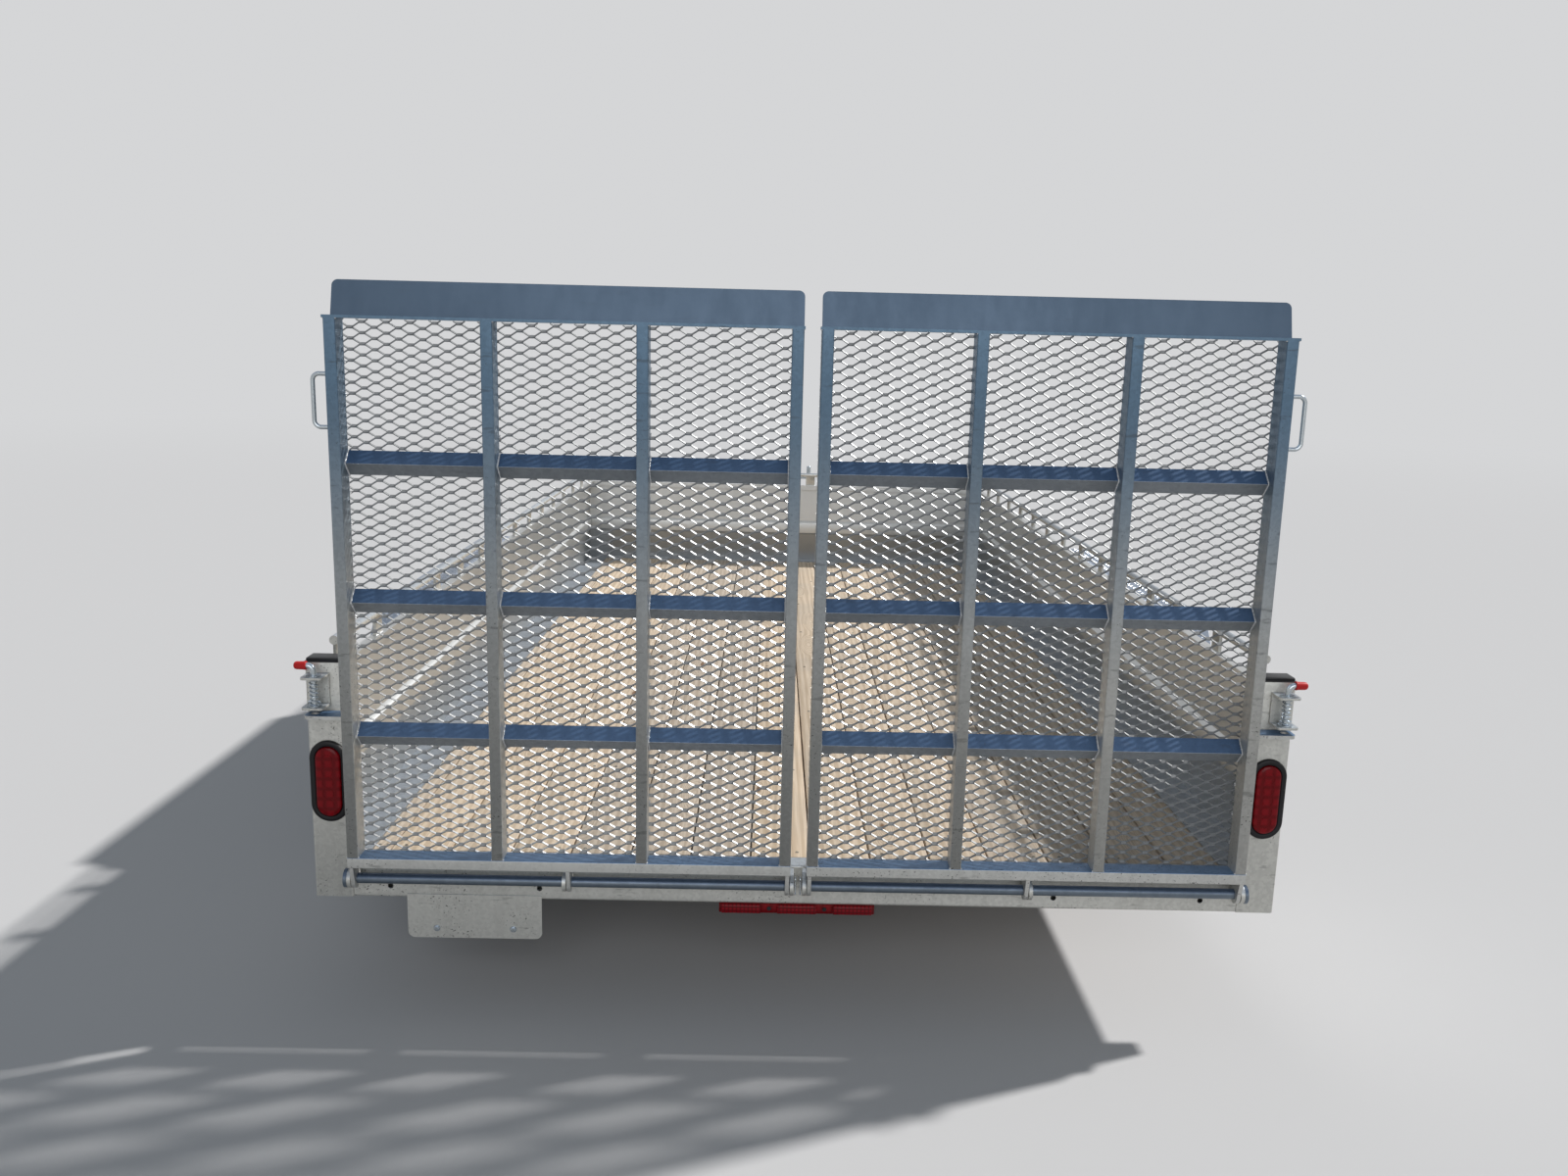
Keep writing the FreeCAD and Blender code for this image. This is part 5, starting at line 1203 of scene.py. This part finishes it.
@dataclass
class RearPosts(Assembly):
    """Rear posts with plastic caps and oval tail lamps."""

    length: float = 0.165
    width: float = 0.057
    flange: float = 0.014
    cell: float = 0.0128
    cells: int = 5
    cell_pitch: float = 2.08  # of a cell's radius
    cell_depth: float = 0.0136
    brim: float = 0.0015
    brim_height: float = 0.0035
    recess: float = 0.002
    # how far in from the edge, how far out from the post
    collar: tuple = ((0.0, 0.0), (0.0, 0.0045), (0.0016, 0.0076), (0.0046, 0.0091), (0.0086, 0.0094),
                     (0.0118, 0.0084), (0.0138, 0.0060), (0.0144, 0.0030), (0.0144, 0.0))
    dome: tuple = ((0.0, 0.0), (0.0, 0.0078), (0.0012, 0.0104), (0.0036, 0.0120), (0.0072, 0.0128),
                   (0.0125, 0.0134), (0.0190, 0.0137), (0.0262, 0.0139))

    def caps(self) -> None:
        """Plastic caps with a thin brim."""
        low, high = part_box("post_caps")
        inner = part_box("rear_post_right")[0].x
        parts = []
        for side in Side:
            left, right = sorted((side.value * inner, side.value * high.x))
            parts.append(block((left, low.y - self.brim, low.z),
                               (right, high.y + self.brim, low.z + self.brim_height), 0.0012))
            parts.append(block((left + self.recess, low.y + self.recess, low.z + self.recess),
                               (right - self.recess, high.y - self.recess, high.z), 0.0035, 3))
        self.add("plastic_caps", joined(parts), Finish.CAP, Slot.RUBBER, "post_caps")

    def lamps(self) -> None:
        """Rubber flanges and domed lenses with rings of small reflectors."""
        low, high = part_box("tail_lamp_lenses")
        length, width = self.length + 2 * self.flange, self.width + 2 * self.flange
        ring = lofted([oval(length, width, *point) for point in self.collar], loop=True)
        lens = lofted([oval(self.length, self.width, *point) for point in self.dome])
        bead = lathe([(0.0, self.cell - 0.0012), (0.0006, self.cell - 0.0008), (0.0006, self.cell - 0.0002),
                      (0.0, self.cell)], 28)
        cells = grown(centred_lattice, moved(bead, TO_REAR), Finish.LENS, Columns=1, Rows=self.cells,
                      Step_X=2 * self.cell, Step_Z=self.cell_pitch * self.cell)
        drop = (self.cells - 1) / 2 * self.cell_pitch * self.cell
        cells = moved(cells, shift((0.0, -self.cell_depth, -drop)))
        reach, level = high.x - self.width / 2, (low.z + high.z) / 2
        spots = [shift((side.value * reach, high.y, level)) for side in Side]
        self.add("lamp_flanges", joined(moved(ring, spot) for spot in spots), Finish.RUBBER, Slot.RUBBER,
                 "tail_lamp_flanges")
        self.add("lamp_lenses", joined(moved(part, spot) for spot in spots for part in (lens, cells)),
                 Finish.LENS, Slot.LENS, "tail_lamp_lenses")

    def build(self) -> None:
        """Builds both posts."""
        self.soften(Finish.FRAME, Slot.FRAME, 0.001, "rear_post_right", "rear_post_left")
        self.caps()
        self.lamps()


@dataclass
class Latches(Assembly):
    """Spring pin latches: bracket, bent pin, coil spring, washers and vinyl grip."""

    pin: float = 0.0065
    coil: float = 0.0090
    wire: float = 0.0015
    turns: float = 6.5
    bend_radius: float = 0.013
    sleeve: float = 0.028
    cotter: float = 0.010
    cotter_reach: float = 0.0135
    cotter_wire: float = 0.0018
    washer: float = 0.0165
    washer_height: float = 0.0022
    taper: float = 0.003
    foot_share: float = 0.7  # of the pin's radius

    def grip(self) -> Mesh:
        """A vinyl sleeve with a collar and a rounded end, up to the origin along +X.

        Returns:
            The mesh.
        """
        return lathe([(-self.sleeve, self.pin), (-self.sleeve, 0.0092), (0.0015 - self.sleeve, 0.0102),
                      (0.006 - self.sleeve, 0.0094), (-0.007, 0.0090), (-0.003, 0.0080), (-0.0008, 0.0055),
                      (0.0, 0.0), (-0.005, 0.0), (-0.005, self.pin)], 28)

    def build(self) -> None:
        """Builds both latches."""
        self.soften(Finish.FRAME, Slot.PLATED, 0.0008, "latch_brackets")
        springs_low, springs_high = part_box("latch_springs")
        pins_low, pins_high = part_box("latch_pins")
        axis_x = springs_high.x - self.coil - self.wire
        axis_y = middle("latch_springs").y
        bend_z = middle("latch_grips").z
        rods, coils, rings, grips = [], [], [], []
        disc = moved(lathe([(0.0, self.pin), (0.0, self.washer), (self.washer_height, self.washer),
                            (self.washer_height, self.pin)], 28), TO_TOP)
        spring = grown(coil_spring, bpy.data.meshes.new("none"), Finish.PLATED, Turns=self.turns,
                       Height=springs_high.z - springs_low.z - 2 * self.wire, Coil=self.coil, Wire=self.wire)
        for side in Side:
            def at(x: float, z: float) -> Vector:
                """A point in the latch's own plane."""
                return Vector((side.value * x, axis_y, z))

            foot, corner, tip = at(axis_x, pins_low.z), at(axis_x, bend_z), at(pins_high.x, bend_z)
            path = [foot, foot + Vector((0, 0, self.taper)), *bend(corner, foot, tip, self.bend_radius), tip]
            rods.append(piped(path, [self.pin * self.foot_share] + [self.pin] * (len(path) - 1), 18))
            coils.append(moved(spring, shift(at(axis_x, springs_low.z + self.wire))))
            for level in (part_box("latch_brackets")[1].z, springs_low.z + 0.0005):
                rings.append(moved(disc, shift(at(axis_x, level))))
            reach = side.value * self.cotter_reach
            level = springs_low.z + self.cotter
            rings.append(piped([at(axis_x - reach, level), at(axis_x + reach, level)],
                               [self.cotter_wire] * 2, 8))
            grips.append(moved(self.grip(), shift(at(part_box("latch_grips")[1].x, bend_z)) @ side.turn))
        for name, parts, finish, slot, node in (
                ("latch_rods", rods, Finish.PLATED, Slot.PLATED, ["latch_pins"]),
                ("latch_coils", coils, Finish.PLATED, Slot.PLATED, ["latch_springs"]),
                ("latch_rings", rings, Finish.PLATED, Slot.PLATED, []),
                ("latch_sleeves", grips, Finish.GRIP, Slot.GRIP, ["latch_grips"])):
            self.add(name, joined(parts), finish, slot, *node)


@dataclass
class Sill(Assembly):
    """Rear sill with hinge lugs, rods, plate bracket and marker lamps."""

    bolt: float = 0.0058
    bolt_reach: float = 0.089
    bolt_level: float = 0.024
    lens_length: float = 0.094
    lens_pitch: float = 0.130
    stand: float = 0.007
    eye_radius: float = 0.0042
    eye_rise: float = 0.0165
    pin_side: float = 0.0055
    pin_wire: float = 0.0013
    leg_wire: float = 0.0016

    def marker_lamps(self) -> None:
        """Three red lamps on one strip, with dark screws between them."""
        low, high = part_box("marker_light_bar")
        back = low.y + self.stand
        half = self.lens_length / 2
        lenses = [block((x - half, low.y, low.z + 0.001), (x + half, back + 0.002, high.z - 0.001), 0.0042, 4)
                  for x in (-self.lens_pitch, 0.0, self.lens_pitch)]
        screw = moved(lathe([(0.0, 0.0), (0.0, 0.0052), (0.0020, 0.0044), (0.0026, 0.0)], 14), TO_REAR)
        level = (low.z + high.z) / 2
        screws = [moved(screw, shift((hand * self.lens_pitch / 2, back, level))) for hand in (-1, 1)]
        self.add("marker_strip", block((low.x, back, low.z), high, 0.0025, 3), Finish.LENS, Slot.LENS,
                 "marker_light_bar")
        self.add("marker_lenses", joined(lenses), Finish.MARKER, Slot.LENS)
        self.add("marker_screws", joined(screws), Finish.CAP, Slot.RUBBER)

    def plate_bolts(self) -> None:
        """Two bolts in the bare bracket."""
        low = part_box("plate_bracket")[0]
        head = moved(hexagon_head(self.bolt, 0.005), TO_REAR)
        spots = [(middle("plate_bracket").x + reach, low.y, low.z + self.bolt_level)
                 for reach in (-self.bolt_reach, self.bolt_reach)]
        self.add("plate_bolts", joined(moved(head, shift(spot)) for spot in spots), Finish.PLATED,
                 Slot.PLATED)

    def cotters(self) -> None:
        """Split pins in the inner ends of the hinge rods."""
        centre = middle("hinge_rods")
        centre.x = 0.0
        pins = []
        for side in Side:
            x = side.value * self.pin_side
            middle_of_eye = centre + Vector((x, 0.0, self.eye_rise))
            eye = [middle_of_eye + self.eye_radius * Vector((0.0, math.sin(angle), math.cos(angle)))
                   for angle in turns(12) + [math.tau]]
            legs = [centre + Vector((x, *rest)) for rest in ((0.0, 0.0125), (0.0, -0.0155), (-0.004, -0.020))]
            pins += [piped(eye, [self.pin_wire] * len(eye), 6), piped(legs, [self.leg_wire] * len(legs), 6)]
        self.add("hinge_cotters", joined(pins), Finish.PLATED, Slot.PLATED)

    def build(self) -> None:
        """Builds what hangs on the rear sill."""
        self.soften(Finish.FRAME, Slot.FRAME, 0.001, "rear_sill", "hinge_lugs_frame")
        self.soften(Finish.ROD, Slot.FRAME, 0.0015, "hinge_rods")
        self.soften(Finish.FRAME, Slot.SHEET, 0.0, "plate_bracket")
        self.marker_lamps()
        self.plate_bolts()
        self.cotters()


@dataclass
class Body(Assembly):
    """Walls, tie rails and the frame under the deck."""

    drop: float = 0.0026
    rails: tuple = ("tie_rail_right", "tie_rail_left", "tie_rail_front")

    def build(self) -> None:
        """Builds the walls and the frame."""
        self.soften(Finish.SHEET, Slot.SHEET, 0.0012, "wall_right", "wall_left", "wall_front")
        self.soften(Finish.FRAME, Slot.FRAME, 0.0, *self.rails)
        self.soften(Finish.UNDER, Slot.FRAME, 0.001, "side_rails", "front_sill", "cross_members")
        self.stub_welds()

    def stub_welds(self) -> None:
        """Beads along both sides of the tie rail stubs' feet."""
        runs = []
        for rail in self.rails:
            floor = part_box(rail)[0].z
            corners = [vertex.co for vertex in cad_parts[rail].data.vertices]
            feet = [corner for corner in corners if corner.z < floor + 0.0005]
            across, along = (1, 0) if rail == "tie_rail_front" else (0, 1)
            sides = [pick(foot[across] for foot in feet) for pick in (min, max)]
            ends = sorted({round(foot[along], 4) for foot in feet})
            for pair in zip(ends[::2], ends[1::2]):
                for side in sides:
                    runs.append([(side, end, floor) if along else (end, side, floor) for end in pair])
        self.welds("tie_rail_welds", runs, self.drop)


@dataclass
class Wheel(Assembly):
    """One wheel: tyre with its tread, galvanised rim, nuts and valve."""

    axle: str
    side: Side
    radius: float = 0.340
    half: float = 0.0975
    seat: float = 0.1905
    toe: float = 0.2045
    bead: float = 0.068
    bulge: float = 0.272
    tread: float = 0.0760
    groove: float = 0.0075
    cut: float = 0.0042
    crown: float = 0.0060
    pitches: int = 60
    nuts: int = 6
    nut_circle: float = 0.0698
    nut_face: float = 0.014
    wall_rings: tuple = (4, 7, 8)
    wall_ring: float = 0.0012
    wrap: float = 0.62  # of a quarter turn over the shoulder
    # how far along, radius
    nut_outline: tuple = ((0.0, 0.0), (0.0, 0.0078), (0.003, 0.0122), (0.016, 0.0118), (0.021, 0.0085),
                          (0.022, 0.0))
    stud_outline: tuple = ((0.018, 0.0), (0.018, 0.0058), (0.029, 0.0058), (0.030, 0.0045), (0.030, 0.0))
    valve: tuple = ((-0.01, 0.0, 0.168), (0.028, 0.0, 0.158), (0.046, 0.0, 0.153))
    valve_radii: tuple = (0.0055, 0.0042, 0.0036)

    def __post_init__(self) -> None:
        """Names the wheel's body and finds its centre."""
        self.body = f"wheel_{self.axle}_{self.side.word}"
        self.tyre_node = f"tyre_{self.axle}_{self.side.word}"
        self.spot = shift(middle(self.tyre_node)) @ self.side.turn

    def crown_at(self, across: float) -> float:
        """The tread's radius at a distance from the middle of the tyre."""
        return self.radius - self.crown * (across / self.tread) ** 2

    def carcass(self) -> Mesh:
        """The tyre without its tread blocks, with fine rings on the sidewalls.

        Returns:
            The mesh.
        """
        half = [(self.tread * part, self.crown_at(self.tread * part) - self.groove)
                for part in (0.0, 0.35, 0.7, 1.0)]
        top = half[-1][1]
        for step in range(1, 8):
            angle = math.pi / 2 * step / 7
            half.append((self.tread + (self.half - self.tread) * math.sin(angle),
                         self.bulge + (top - self.bulge) * math.cos(angle)))
        for step in range(1, 17):
            angle = math.pi / 2 * step / 16
            ridge = 0.0 if step in self.wall_rings else self.wall_ring
            half.append((self.bead + (self.half - self.bead) * math.cos(angle) - ridge,
                         self.bulge - (self.bulge - self.toe) * math.sin(angle)))
        half.append((self.bead, self.seat))
        return lathe(half + [(-x, radius) for x, radius in reversed(half[1:])], 96)

    def block_mesh(self, inner: float, outer: float, start: float, span: float, skew: float) -> Mesh:
        """A tread block between two distances across, with slanted ends.

        Args:
            inner: Its inner edge across the tyre.
            outer: Its outer edge.
            start: Its start round the tyre.
            span: Its length.
            skew: How far the outer edge runs ahead.

        Returns:
            The mesh.
        """
        rings = []
        for across, lag in ((inner, 0.0), (outer, skew)):
            crown = self.crown_at(abs(across))
            rings.append([(across, (crown - depth) * math.sin((end + lag) / self.radius),
                           (crown - depth) * math.cos((end + lag) / self.radius))
                          for end, depth in ((start, self.groove + 0.001), (start, 0.0), (start + span, 0.0),
                                             (start + span, self.groove + 0.001))])
        shape, rows = closed(rings)
        top = {row[index] for row in rows for index in (1, 2)}
        edges = [edge for edge in shape.edges if top.issuperset(edge.verts)]
        bmesh.ops.bevel(shape, geom=edges, offset=0.0011, segments=1, profile=0.5, affect="EDGES")
        return mesh_of(shape)

    def shoulder_lug(self, hand: int, start: float, span: float) -> Mesh:
        """A lug that runs over the tyre's shoulder.

        Args:
            hand: 1 or -1.
            start: Its start round the tyre.
            span: Its length.

        Returns:
            The mesh.
        """
        rings = []
        top = self.crown_at(self.tread)
        for share in (0.0, 0.25, 0.5, 0.75, 1.0):
            angle = math.pi / 2 * self.wrap * share
            across = self.tread - 0.001 + (self.half - self.tread - 0.0010) * math.sin(angle)
            radius = self.bulge + (top - self.bulge) * math.cos(angle)
            inside = (across - 0.004, radius - 0.008 * (1 - share) - 0.0004)
            rings.append([(hand * x, reach * math.sin(end / self.radius), reach * math.cos(end / self.radius))
                          for end, (x, reach) in ((start, (across, radius)), (start + span, (across, radius)),
                                                  (start + span, inside), (start, inside))])
        return lofted(rings)

    def tyre(self) -> None:
        """The whole tyre."""
        pitch = math.tau * self.radius / self.pitches
        ribs = [
            # inner edge, outer edge, slant, start as a share of the pitch
            (-0.0105, 0.0105, 0.004, 0.0),
            (0.0155, 0.0375, -0.006, 0.4),
            (-0.0155, -0.0375, -0.006, 0.9),
            (0.0425, self.tread, -0.003, 0.2),
            (-0.0425, -self.tread, -0.003, 0.7),
        ]
        blocks = [self.block_mesh(inner, outer, share * pitch, pitch - self.cut, skew)
                  for inner, outer, skew, share in ribs]
        blocks += [self.shoulder_lug(hand, share * pitch - 0.003, (pitch - self.cut) * 0.94)
                   for hand, share in ((1, 0.2), (-1, 0.7))]
        tread = grown(ring_about_x, joined(blocks), Finish.TYRE, Count=self.pitches)
        self.add(f"{self.body}_tyre", moved(joined([self.carcass(), tread]), self.spot), Finish.TYRE,
                 Slot.TYRE, self.tyre_node)

    def fittings(self) -> None:
        """Nuts on their studs, and the valve."""
        unit = joined([lathe(self.nut_outline, 6), lathe(self.stud_outline, 14)])
        unit = moved(unit, shift((0.0, 0.0, self.nut_circle)))
        ring = grown(ring_about_x, unit, Finish.PLATED, Count=self.nuts)
        self.add(f"{self.body}_nuts", moved(ring, self.spot @ shift((self.nut_face, 0.0, 0.0))),
                 Finish.PLATED, Slot.PLATED)
        stem = piped([Vector(point) for point in self.valve], self.valve_radii, 12)
        stem = moved(stem, self.spot @ Matrix.Rotation(math.pi / 8, 4, "X"))
        self.add(f"{self.body}_valve", stem, Finish.RUBBER, Slot.RUBBER)

    def build(self) -> None:
        """Builds the wheel."""
        self.tyre()
        self.soften(Finish.WHEEL, Slot.WHEEL, 0.0, self.body)
        self.fittings()


@dataclass
class RunningGear(Assembly):
    """Axles, wheels and fenders."""

    lug_length: float = 0.027
    lug_width: float = 0.0072
    lug_height: float = 0.0018
    lug_top: float = 0.62
    lug_taper: float = 0.6
    pitch: float = 0.034
    margin: float = 0.014
    flat: float = 0.740
    run: float = 0.200
    drop: float = 0.235
    skirt: float = 0.052

    def lug(self) -> Mesh:
        """One raised lug of the tread plate, lens shaped.

        Returns:
            The mesh.
        """
        rings = []
        for share, depth in ((1.0, 0.0), (self.lug_top, self.lug_height)):
            half_length, half_width = self.lug_length / 2 * share, self.lug_width / 2 * share
            rings.append([(math.copysign(half_length * abs(along) ** self.lug_taper, along),
                           -depth, half_width * across)
                          for along, across in ((math.cos(angle), math.sin(angle)) for angle in turns(10))])
        return lofted(rings)

    def tread_plate(self, side: Side) -> None:
        """A fender with lugs over its top, its sloping ends and its skirt.

        Args:
            side: The fender's side.
        """
        node = f"fender_{side.word}"
        low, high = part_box(node)
        hand = side.value
        near, far = sorted((abs(low.x), abs(high.x)))
        width = far - near - self.lug_height
        edge = Vector((hand * near, 0, 0))
        shrink = shift(edge) @ Matrix.Diagonal((width / (far - near), 1, 1, 1)) @ shift(-edge)
        self.add(f"{node}_shown", moved(softened(node, 0.0008), shrink), Finish.PLATE, Slot.SHEET, node)
        centre = (low.y + high.y) / 2
        rear, front = centre - self.flat, centre + self.flat
        slope = math.hypot(self.run, self.drop)
        columns = int((width - self.margin) / self.pitch)
        margin_x = (width - (columns - 0.5) * self.pitch) / 2
        sheets = []
        for corner, normal, length in (
                # corner, normal and length of each face
                ((0.0, rear, high.z), (0.0, 0.0, 1.0), 2 * self.flat),
                ((0.0, front, high.z), (0.0, self.drop, self.run), slope),
                ((0.0, rear - self.run, high.z - self.drop), (0.0, -self.drop, self.run), slope)):
            rows = int((length - self.margin) / self.pitch)
            margin_y = (length - (rows - 0.5) * self.pitch) / 2
            sheets.append((columns, rows, rows, on_face(corner, (1, 0, 0), normal)
                           @ shift((near + margin_x, 0.0, margin_y))))
        start = (near + width, rear + self.pitch / 2, high.z - self.skirt + self.margin / 2)
        sheets.append((int(2 * self.flat / self.pitch), 2, 1, on_face(start, (0, 1, 0), (1, 0, 0))))
        parts = []
        for columns, rows, odd_rows, spot in sheets:
            sheet = grown(centred_lattice, self.lug(), Finish.LUG, Columns=columns, Rows=rows,
                          Step_X=self.pitch, Step_Z=self.pitch, Odd_Columns=columns, Odd_Rows=odd_rows,
                          Odd_Turn=-math.pi / 4, Turn=math.pi / 4)
            parts.append(moved(sheet, Matrix.Diagonal((hand, 1, 1, 1)) @ spot))
        self.add(f"{node}_lugs", joined(parts), Finish.LUG, Slot.SHEET)

    def build(self) -> None:
        """Builds the axles, the wheels and the fenders."""
        for axle in ("rear", "front"):
            self.soften(Finish.UNDER, Slot.FRAME, 0.002, f"axle_{axle}")
            for side in Side:
                Wheel(axle, side).build()
        for side in Side:
            self.tread_plate(side)


@dataclass
class Tongue(Assembly):
    """A-frame, coupler and jack."""

    bolt: float = 0.0095
    bolt_head: float = 0.007
    bolt_circle: float = 0.043
    flange: float = 0.008

    def bolts(self) -> None:
        """Bolts that hold the jack to its plate."""
        centre = middle("jack_housing")
        centre.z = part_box("tongue_gusset")[1].z + self.flange
        head = moved(hexagon_head(self.bolt, self.bolt_head), TO_TOP)
        self.add("jack_bolts", joined(
            moved(head, shift(centre - self.bolt_circle * Vector((math.sin(angle), math.cos(angle), 0.0))))
            for angle in turns(3)), Finish.PLATED, Slot.PLATED)

    def build(self) -> None:
        """Builds the tongue and what it carries."""
        self.soften(Finish.FRAME, Slot.FRAME, 0.001, "tongue_arm_right", "tongue_arm_left")
        self.soften(Finish.FRAME, Slot.FRAME, 0.0012, "tongue_gusset")
        self.soften(Finish.PLATED, Slot.PLATED, 0.001, "coupler", "coupler_lever")
        self.soften(Finish.PLATED, Slot.PLATED, 0.0008, "jack_housing")
        self.soften(Finish.PLATED, Slot.PLATED, 0.0012, "jack_crank")
        self.bolts()


@dataclass
class JackLeg(Assembly):
    """The leg that winds out of the jack."""

    body: str = "jack_leg"

    def build(self) -> None:
        """Builds the leg and its foot."""
        self.soften(Finish.PLATED, Slot.PLATED, 0.001, "jack_leg")


@dataclass
class Studio:
    """Pale floor, soft light and the camera behind the trailer."""

    lens: float = 28.35
    sensor: float = 36.0
    eye: Point = (-0.084, -5.4375, 1.564)
    pitch: float = math.radians(10.88)
    yaw: float = math.radians(0.77)
    roll: float = math.radians(1.385)
    floor_radius: float = 60.0
    fade_from: float = 7.0
    fade_to: float = 24.0
    ground: Colour = (0.34, 0.34, 0.34)
    floor_shown: Colour = (0.62, 0.62, 0.63)
    backdrop: Colour = (0.665, 0.67, 0.68)
    sky_tint: Colour = (0.80, 0.90, 1.0)
    sky_light: float = 0.22

    def put(self, name: str, data: bpy.types.ID, matrix: Matrix) -> Object:
        """Adds a camera or a lamp.

        Args:
            name: Its name.
            data: The camera or lamp.
            matrix: Its place.

        Returns:
            The object.
        """
        thing = bpy.data.objects.new(name, data)
        bpy.context.scene.collection.objects.link(thing)
        thing.matrix_world = matrix
        return thing

    def camera(self) -> None:
        """The camera at the photograph's angle."""
        reach = math.cos(self.pitch)
        forward = Vector((math.sin(self.yaw) * reach, math.cos(self.yaw) * reach, -math.sin(self.pitch)))
        level = Vector((math.cos(self.yaw), -math.sin(self.yaw), 0.0))
        upright = level.cross(forward)
        right = level * math.cos(self.roll) + upright * math.sin(self.roll)
        up = upright * math.cos(self.roll) - level * math.sin(self.roll)
        data = bpy.data.cameras.new("camera")
        data.lens = self.lens
        data.sensor_width = self.sensor
        turn = Matrix((right, up, -forward)).transposed().to_4x4()
        bpy.context.scene.camera = self.put("camera", data, shift(self.eye) @ turn)

    def lamp(self, name: str, source: Point, strength: float, spread: float, colour: Colour) -> None:
        """A soft even lamp, far off.

        Args:
            name: The lamp's name.
            source: The direction that the light comes from.
            strength: The light on a face that looks at it.
            spread: The lamp's apparent size in degrees.
            colour: The light's colour.
        """
        data = bpy.data.lights.new(name, "SUN")
        data.energy = strength
        data.angle = math.radians(spread)
        data.color = colour
        self.put(name, data, Vector(source).to_track_quat("Z", "Y").to_matrix().to_4x4())

    def mixed(self, tree: Tree, share: Flow, shaders: Sequence[Node], kind: str) -> None:
        """Mixes two shaders into a tree's output.

        Args:
            tree: The tree.
            share: The second shader's share.
            shaders: The two shaders.
            kind: The output node's type.
        """
        first, second = (Flow(tree, shader.outputs[0]) for shader in shaders)
        end = next(node for node in tree.tree.nodes if node.type == kind)
        tree.feed(tree.out("ShaderNodeMixShader", {0: share, 1: first, 2: second}), end.inputs["Surface"])

    def floor(self) -> None:
        """A pale round floor that fades into the background."""
        shape = bmesh.new()
        bmesh.ops.create_circle(shape, cap_ends=True, radius=self.floor_radius, segments=96)
        floor = bpy.data.objects.new("floor", mesh_of(shape))
        bpy.context.scene.collection.objects.link(floor)
        material, tree, shader, spot = new_material("pale_floor")
        seen = tree.seen()
        for name, value in (("Base Color", seen.blend(self.ground, self.floor_shown)), ("Roughness", 0.9),
                            ("Specular IOR Level", 0.0)):
            tree.feed(value, shader.inputs[name])
        flat = tree.add("ShaderNodeEmission", {"Color": rgba(self.backdrop), "Strength": 1.0})
        reach = tree.out("ShaderNodeVectorMath", {0: spot}, "Value", operation="LENGTH")
        self.mixed(tree, reach.step(self.fade_from, self.fade_to) * seen, (shader, flat), "OUTPUT_MATERIAL")
        floor.data.materials.append(material)

    def sky(self) -> None:
        """The pale background and its even light."""
        world = bpy.data.worlds.new("studio")
        world.use_nodes = True
        bpy.context.scene.world = world
        tree = Tree(world.node_tree)
        light = world.node_tree.nodes["Background"]
        light.inputs["Color"].default_value = rgba(self.sky_tint)
        light.inputs["Strength"].default_value = self.sky_light
        pale = tree.add("ShaderNodeBackground", {"Color": rgba(self.backdrop), "Strength": 1.0})
        self.mixed(tree, tree.seen(), (light, pale), "OUTPUT_WORLD")

    def build(self) -> None:
        """Sets up the whole studio."""
        bpy.context.scene.view_settings.view_transform = "Standard"
        self.camera()
        self.floor()
        self.sky()
        self.lamp("key", (0.71, 0.284, 0.646), 3.7, 2.6, (1.0, 0.975, 0.94))
        self.lamp("fill", (0.05, -0.93, 0.36), 0.8, 40.0, (0.96, 0.98, 1.0))


def main() -> None:
    """Builds the trailer's pieces in order."""
    logging.basicConfig(level=logging.INFO, format="%(message)s")
    for side in Side:
        RampGate(side).build()
    for maker in (Deck, RearPosts, Latches, Sill, Body, RunningGear, Tongue, JackLeg, Studio):
        maker().build()


if __name__ == "__main__":
    main()
